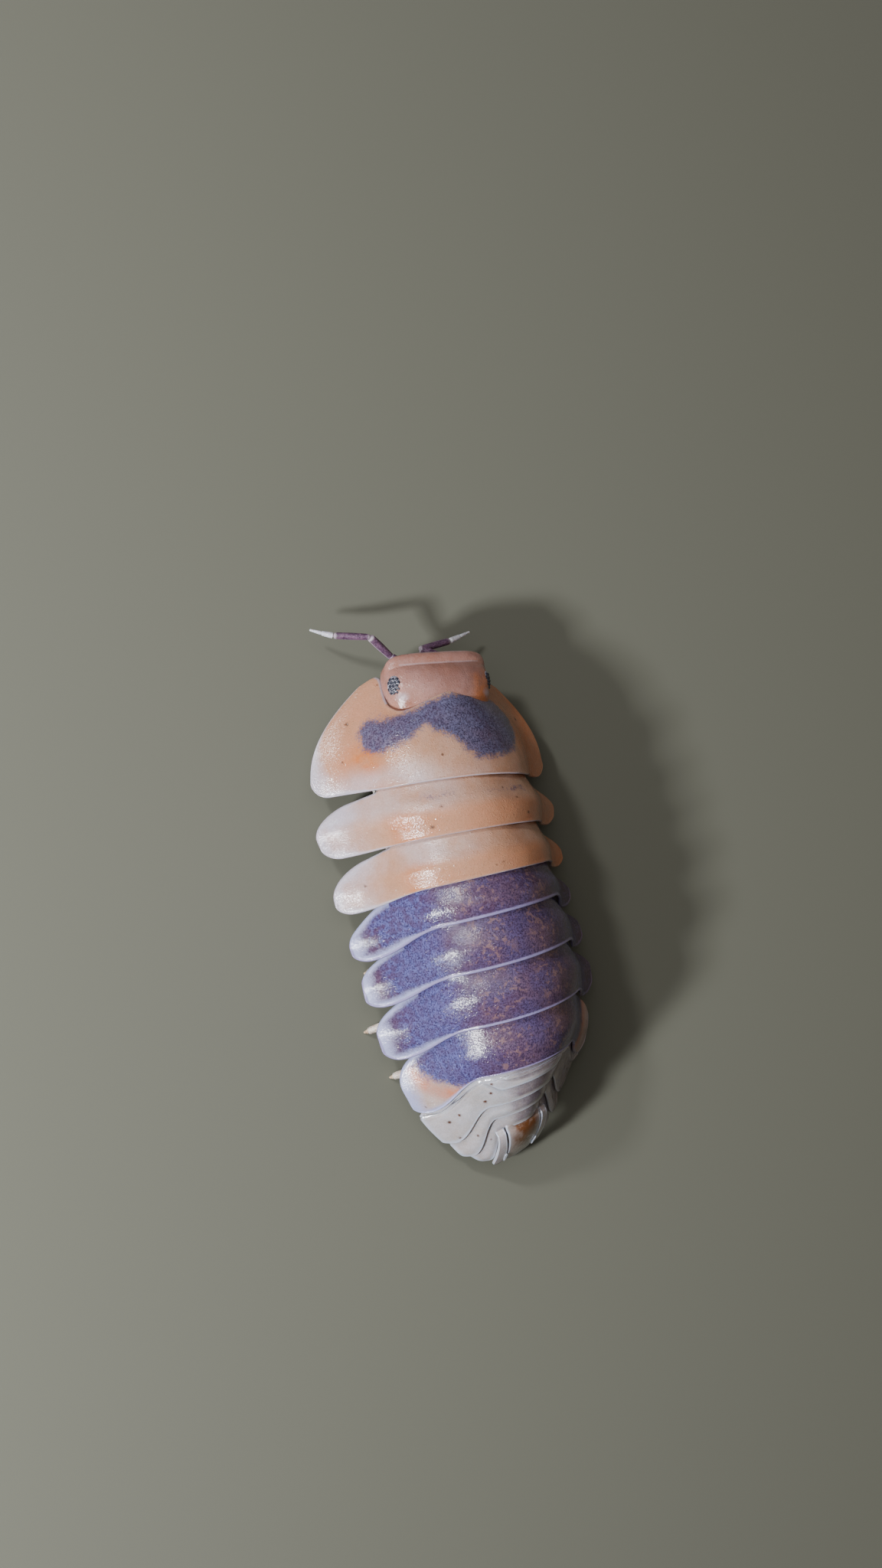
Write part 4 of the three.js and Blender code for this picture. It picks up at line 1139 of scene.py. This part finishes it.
def tail_fields(fields, dark, warm, pale_reach=0.12):
    edge = np.minimum(fields["back"], fields["side"])
    return {
        "pale": 1 - np.clip(edge / pale_reach, 0, 1.3), "rim": 1 - ramp(edge, 0.035, 0.025),
        "dark": dark, "warm": warm, "cloud": 0.4, "fleck": 1.0,
        "blue_tint_and_sheen": 0.0, "ruddy": 0.0, "mottle": 0.0, "spot": 0.0,
    }


def telson_place(t, c):
    half = telson_half(t) * mix(0.6, 1.0, ease_in(t, 0.86, 1.06))
    along = mix(-0.18, 1.0, t)
    bow = 0.05 * np.cos((c - 0.5) * math.pi) * ramp(t, 0.7, 0.3)
    p = telson_point(along + bow, (2 * c - 1) * half)
    p[..., 2] += 0.035 * np.sin(math.pi * np.clip(t, 0, 1)) * (1 - (2 * c - 1) ** 2)
    return p


p, f, fields = slab(telson_place, 70, 60, 0.10)
amber = 2.4 * hump(fields["c"], 0.5, 0.36) * smooth((0.95 - fields["t"]) / 0.3)
tint = tail_fields(fields, -0.6, amber)
tint["cloud"] = 0.0
make("telson_plate", p, f, cream, "shell_cream", tint, ["telson"])

for name, side in SIDES:
    def base_place(t, c, side=side):
        along = mix(-0.16, 1.02, t)
        across = mix(telson_half(along) + 0.02, mix(0.82, 0.78, along), c)
        p = telson_point(along - 0.07 * (2 * c - 1) ** 2 * ramp(t, 0.6, 0.4), side * across)
        p[..., 2] += 0.02 - 0.5 * np.clip(-along, 0, 1)
        return p

    def blade_place(t, c, side=side):
        half = 0.045 * ease_in(t, 0.55, 1.06)
        p = telson_point(mix(0.76, 1.0, t), side * (mix(0.50, 0.46, t) + (2 * c - 1) * half))
        p[..., 2] += 0.05 + 0.02 * np.cos((c - 0.5) * math.pi)
        return p

    p, f, fields = slab(base_place, 50, 30, 0.10)
    tint = tail_fields(fields, -0.55, 0.25, 0.09)
    make(f"tail_foot_{name}", p, f, cream, "shell_cream", tint, [f"uropod_{name}"])
    p, f, fields = slab(blade_place, 40, 24, 0.07)
    tint = tail_fields(fields, -0.9, 0.0, 0.3)
    make(f"tail_blade_{name}", p, f, cream, "shell_cream", tint, [f"uropod_{name}"])

# Gill flaps under the tail
GILL_COUNT, GILL_STEP, GILL_LENGTH = 5, 0.36, 0.48
GILL_PLACE = (0.18, 4.25, 0.74)
gill_finish = skin_finish("gill_skin", (228, 222, 214), (236, 234, 230), 0.4)
for name, side in SIDES:
    for k in range(GILL_COUNT):
        def flap(t, c, side=side, k=k):
            width = mix(1.0, 0.42, k / (GILL_COUNT - 1))
            x = GILL_PLACE[0] + side * (0.05 + width * (1 - 0.25 * t ** 3) * c)
            rounded = 0.10 * (2 * c - 1) ** 2 * ramp(t, 0.4, 0.6)
            y = GILL_PLACE[1] + GILL_STEP * k + (t - rounded) * GILL_LENGTH
            z = GILL_PLACE[2] - t * 0.36 + 0.03 * np.sin(math.pi * c)
            return np.stack([x, y, z], -1)

        p, f, fields = slab(flap, 30, 26, 0.06, 0.006)
        make(f"gill_{name}_{k + 1}", p, f, gill_finish, "gill_flap", {}, [f"pleopod_{name}_{k + 1}"])

# Floor
bpy.ops.mesh.primitive_plane_add(size=3.0, location=(0, 0, 0))
floor = bpy.context.object
floor.name = "floor"
ground = Look("floor_finish", rough=0.7, specular=0.2)
ground.colour((112, 112, 100))
floor.data.materials.append(ground.material)


# Camera: the photograph's viewing angle and framing
TILT_LEFT, TILT_AHEAD, ROLL = math.radians(27), math.radians(6), math.radians(-16)
PIXELS_PER_MM, DISTANCE = 51.0, 100.0
FRAME_W, FRAME_H = 1152, 2048
TARGET = np.array([0.0, 0.0, 3.73])
TARGET_PIXEL = (664.0, 1187.0)
SENSOR = 24.0                      # mm
cos_left, sin_left = math.cos(TILT_LEFT), math.sin(TILT_LEFT)
cos_ahead, sin_ahead = math.cos(TILT_AHEAD), math.sin(TILT_AHEAD)
turn_left = np.array([[cos_left, 0, sin_left], [0, 1, 0], [-sin_left, 0, cos_left]])
turn_ahead = np.array([[1, 0, 0], [0, cos_ahead, -sin_ahead], [0, sin_ahead, cos_ahead]])
lean = turn_left @ turn_ahead
flat_right, flat_up, toward = lean @ [-1, 0, 0], lean @ [0, -1, 0], lean @ [0, 0, 1]
right = math.cos(ROLL) * flat_right + math.sin(ROLL) * flat_up
up = math.cos(ROLL) * flat_up - math.sin(ROLL) * flat_right
camera_data = bpy.data.cameras.new("camera")
camera_data.sensor_fit = "VERTICAL"
camera_data.sensor_height = SENSOR
camera_data.lens = SENSOR * DISTANCE / (FRAME_H / PIXELS_PER_MM)
camera_data.shift_x = -(TARGET_PIXEL[0] - FRAME_W / 2) / FRAME_H
camera_data.shift_y = (TARGET_PIXEL[1] - FRAME_H / 2) / FRAME_H
camera_data.clip_start = 0.001
camera_data.clip_end = 10.0
camera = bpy.data.objects.new("camera", camera_data)
bpy.context.scene.collection.objects.link(camera)
place = (TARGET + toward * DISTANCE - CENTRE) * MM
camera.matrix_world = Matrix([*np.column_stack([right, up, toward, place]).tolist(), (0, 0, 0, 1)])
bpy.context.scene.camera = camera


# Light: a soft window low on the animal's left, a broad fill overhead, and a pale surround
def area(name, direction, distance, size, power, colour):
    data = bpy.data.lights.new(name, "AREA")
    data.shape = "SQUARE"
    data.size = size * MM
    data.energy = power
    data.color = colour
    lamp = bpy.data.objects.new(name, data)
    direction = Vector(direction).normalized()
    lamp.location = direction * distance * MM + Vector((0, 0, 0.002))
    lamp.rotation_euler = direction.to_track_quat("Z", "Y").to_euler()
    bpy.context.scene.collection.objects.link(lamp)


area("window", (0.88, 0.06, 0.46), 70, 7, 0.075, (0.93, 0.96, 1.0))
area("second_window", (0.56, -0.58, 0.58), 70, 6, 0.022, (0.95, 0.97, 1.0))
area("overhead", (0.45, -0.35, 1.0), 160, 120, 0.07, (1.0, 0.98, 0.95))
area("reflected", (-0.85, 0.1, 0.35), 120, 80, 0.008, (1.0, 0.66, 0.36))
world = bpy.data.worlds.new("surround")
world.use_nodes = True
world.node_tree.nodes["Background"].inputs["Color"].default_value = (0.85, 0.90, 1.0, 1)
world.node_tree.nodes["Background"].inputs["Strength"].default_value = 0.06
bpy.context.scene.world = world
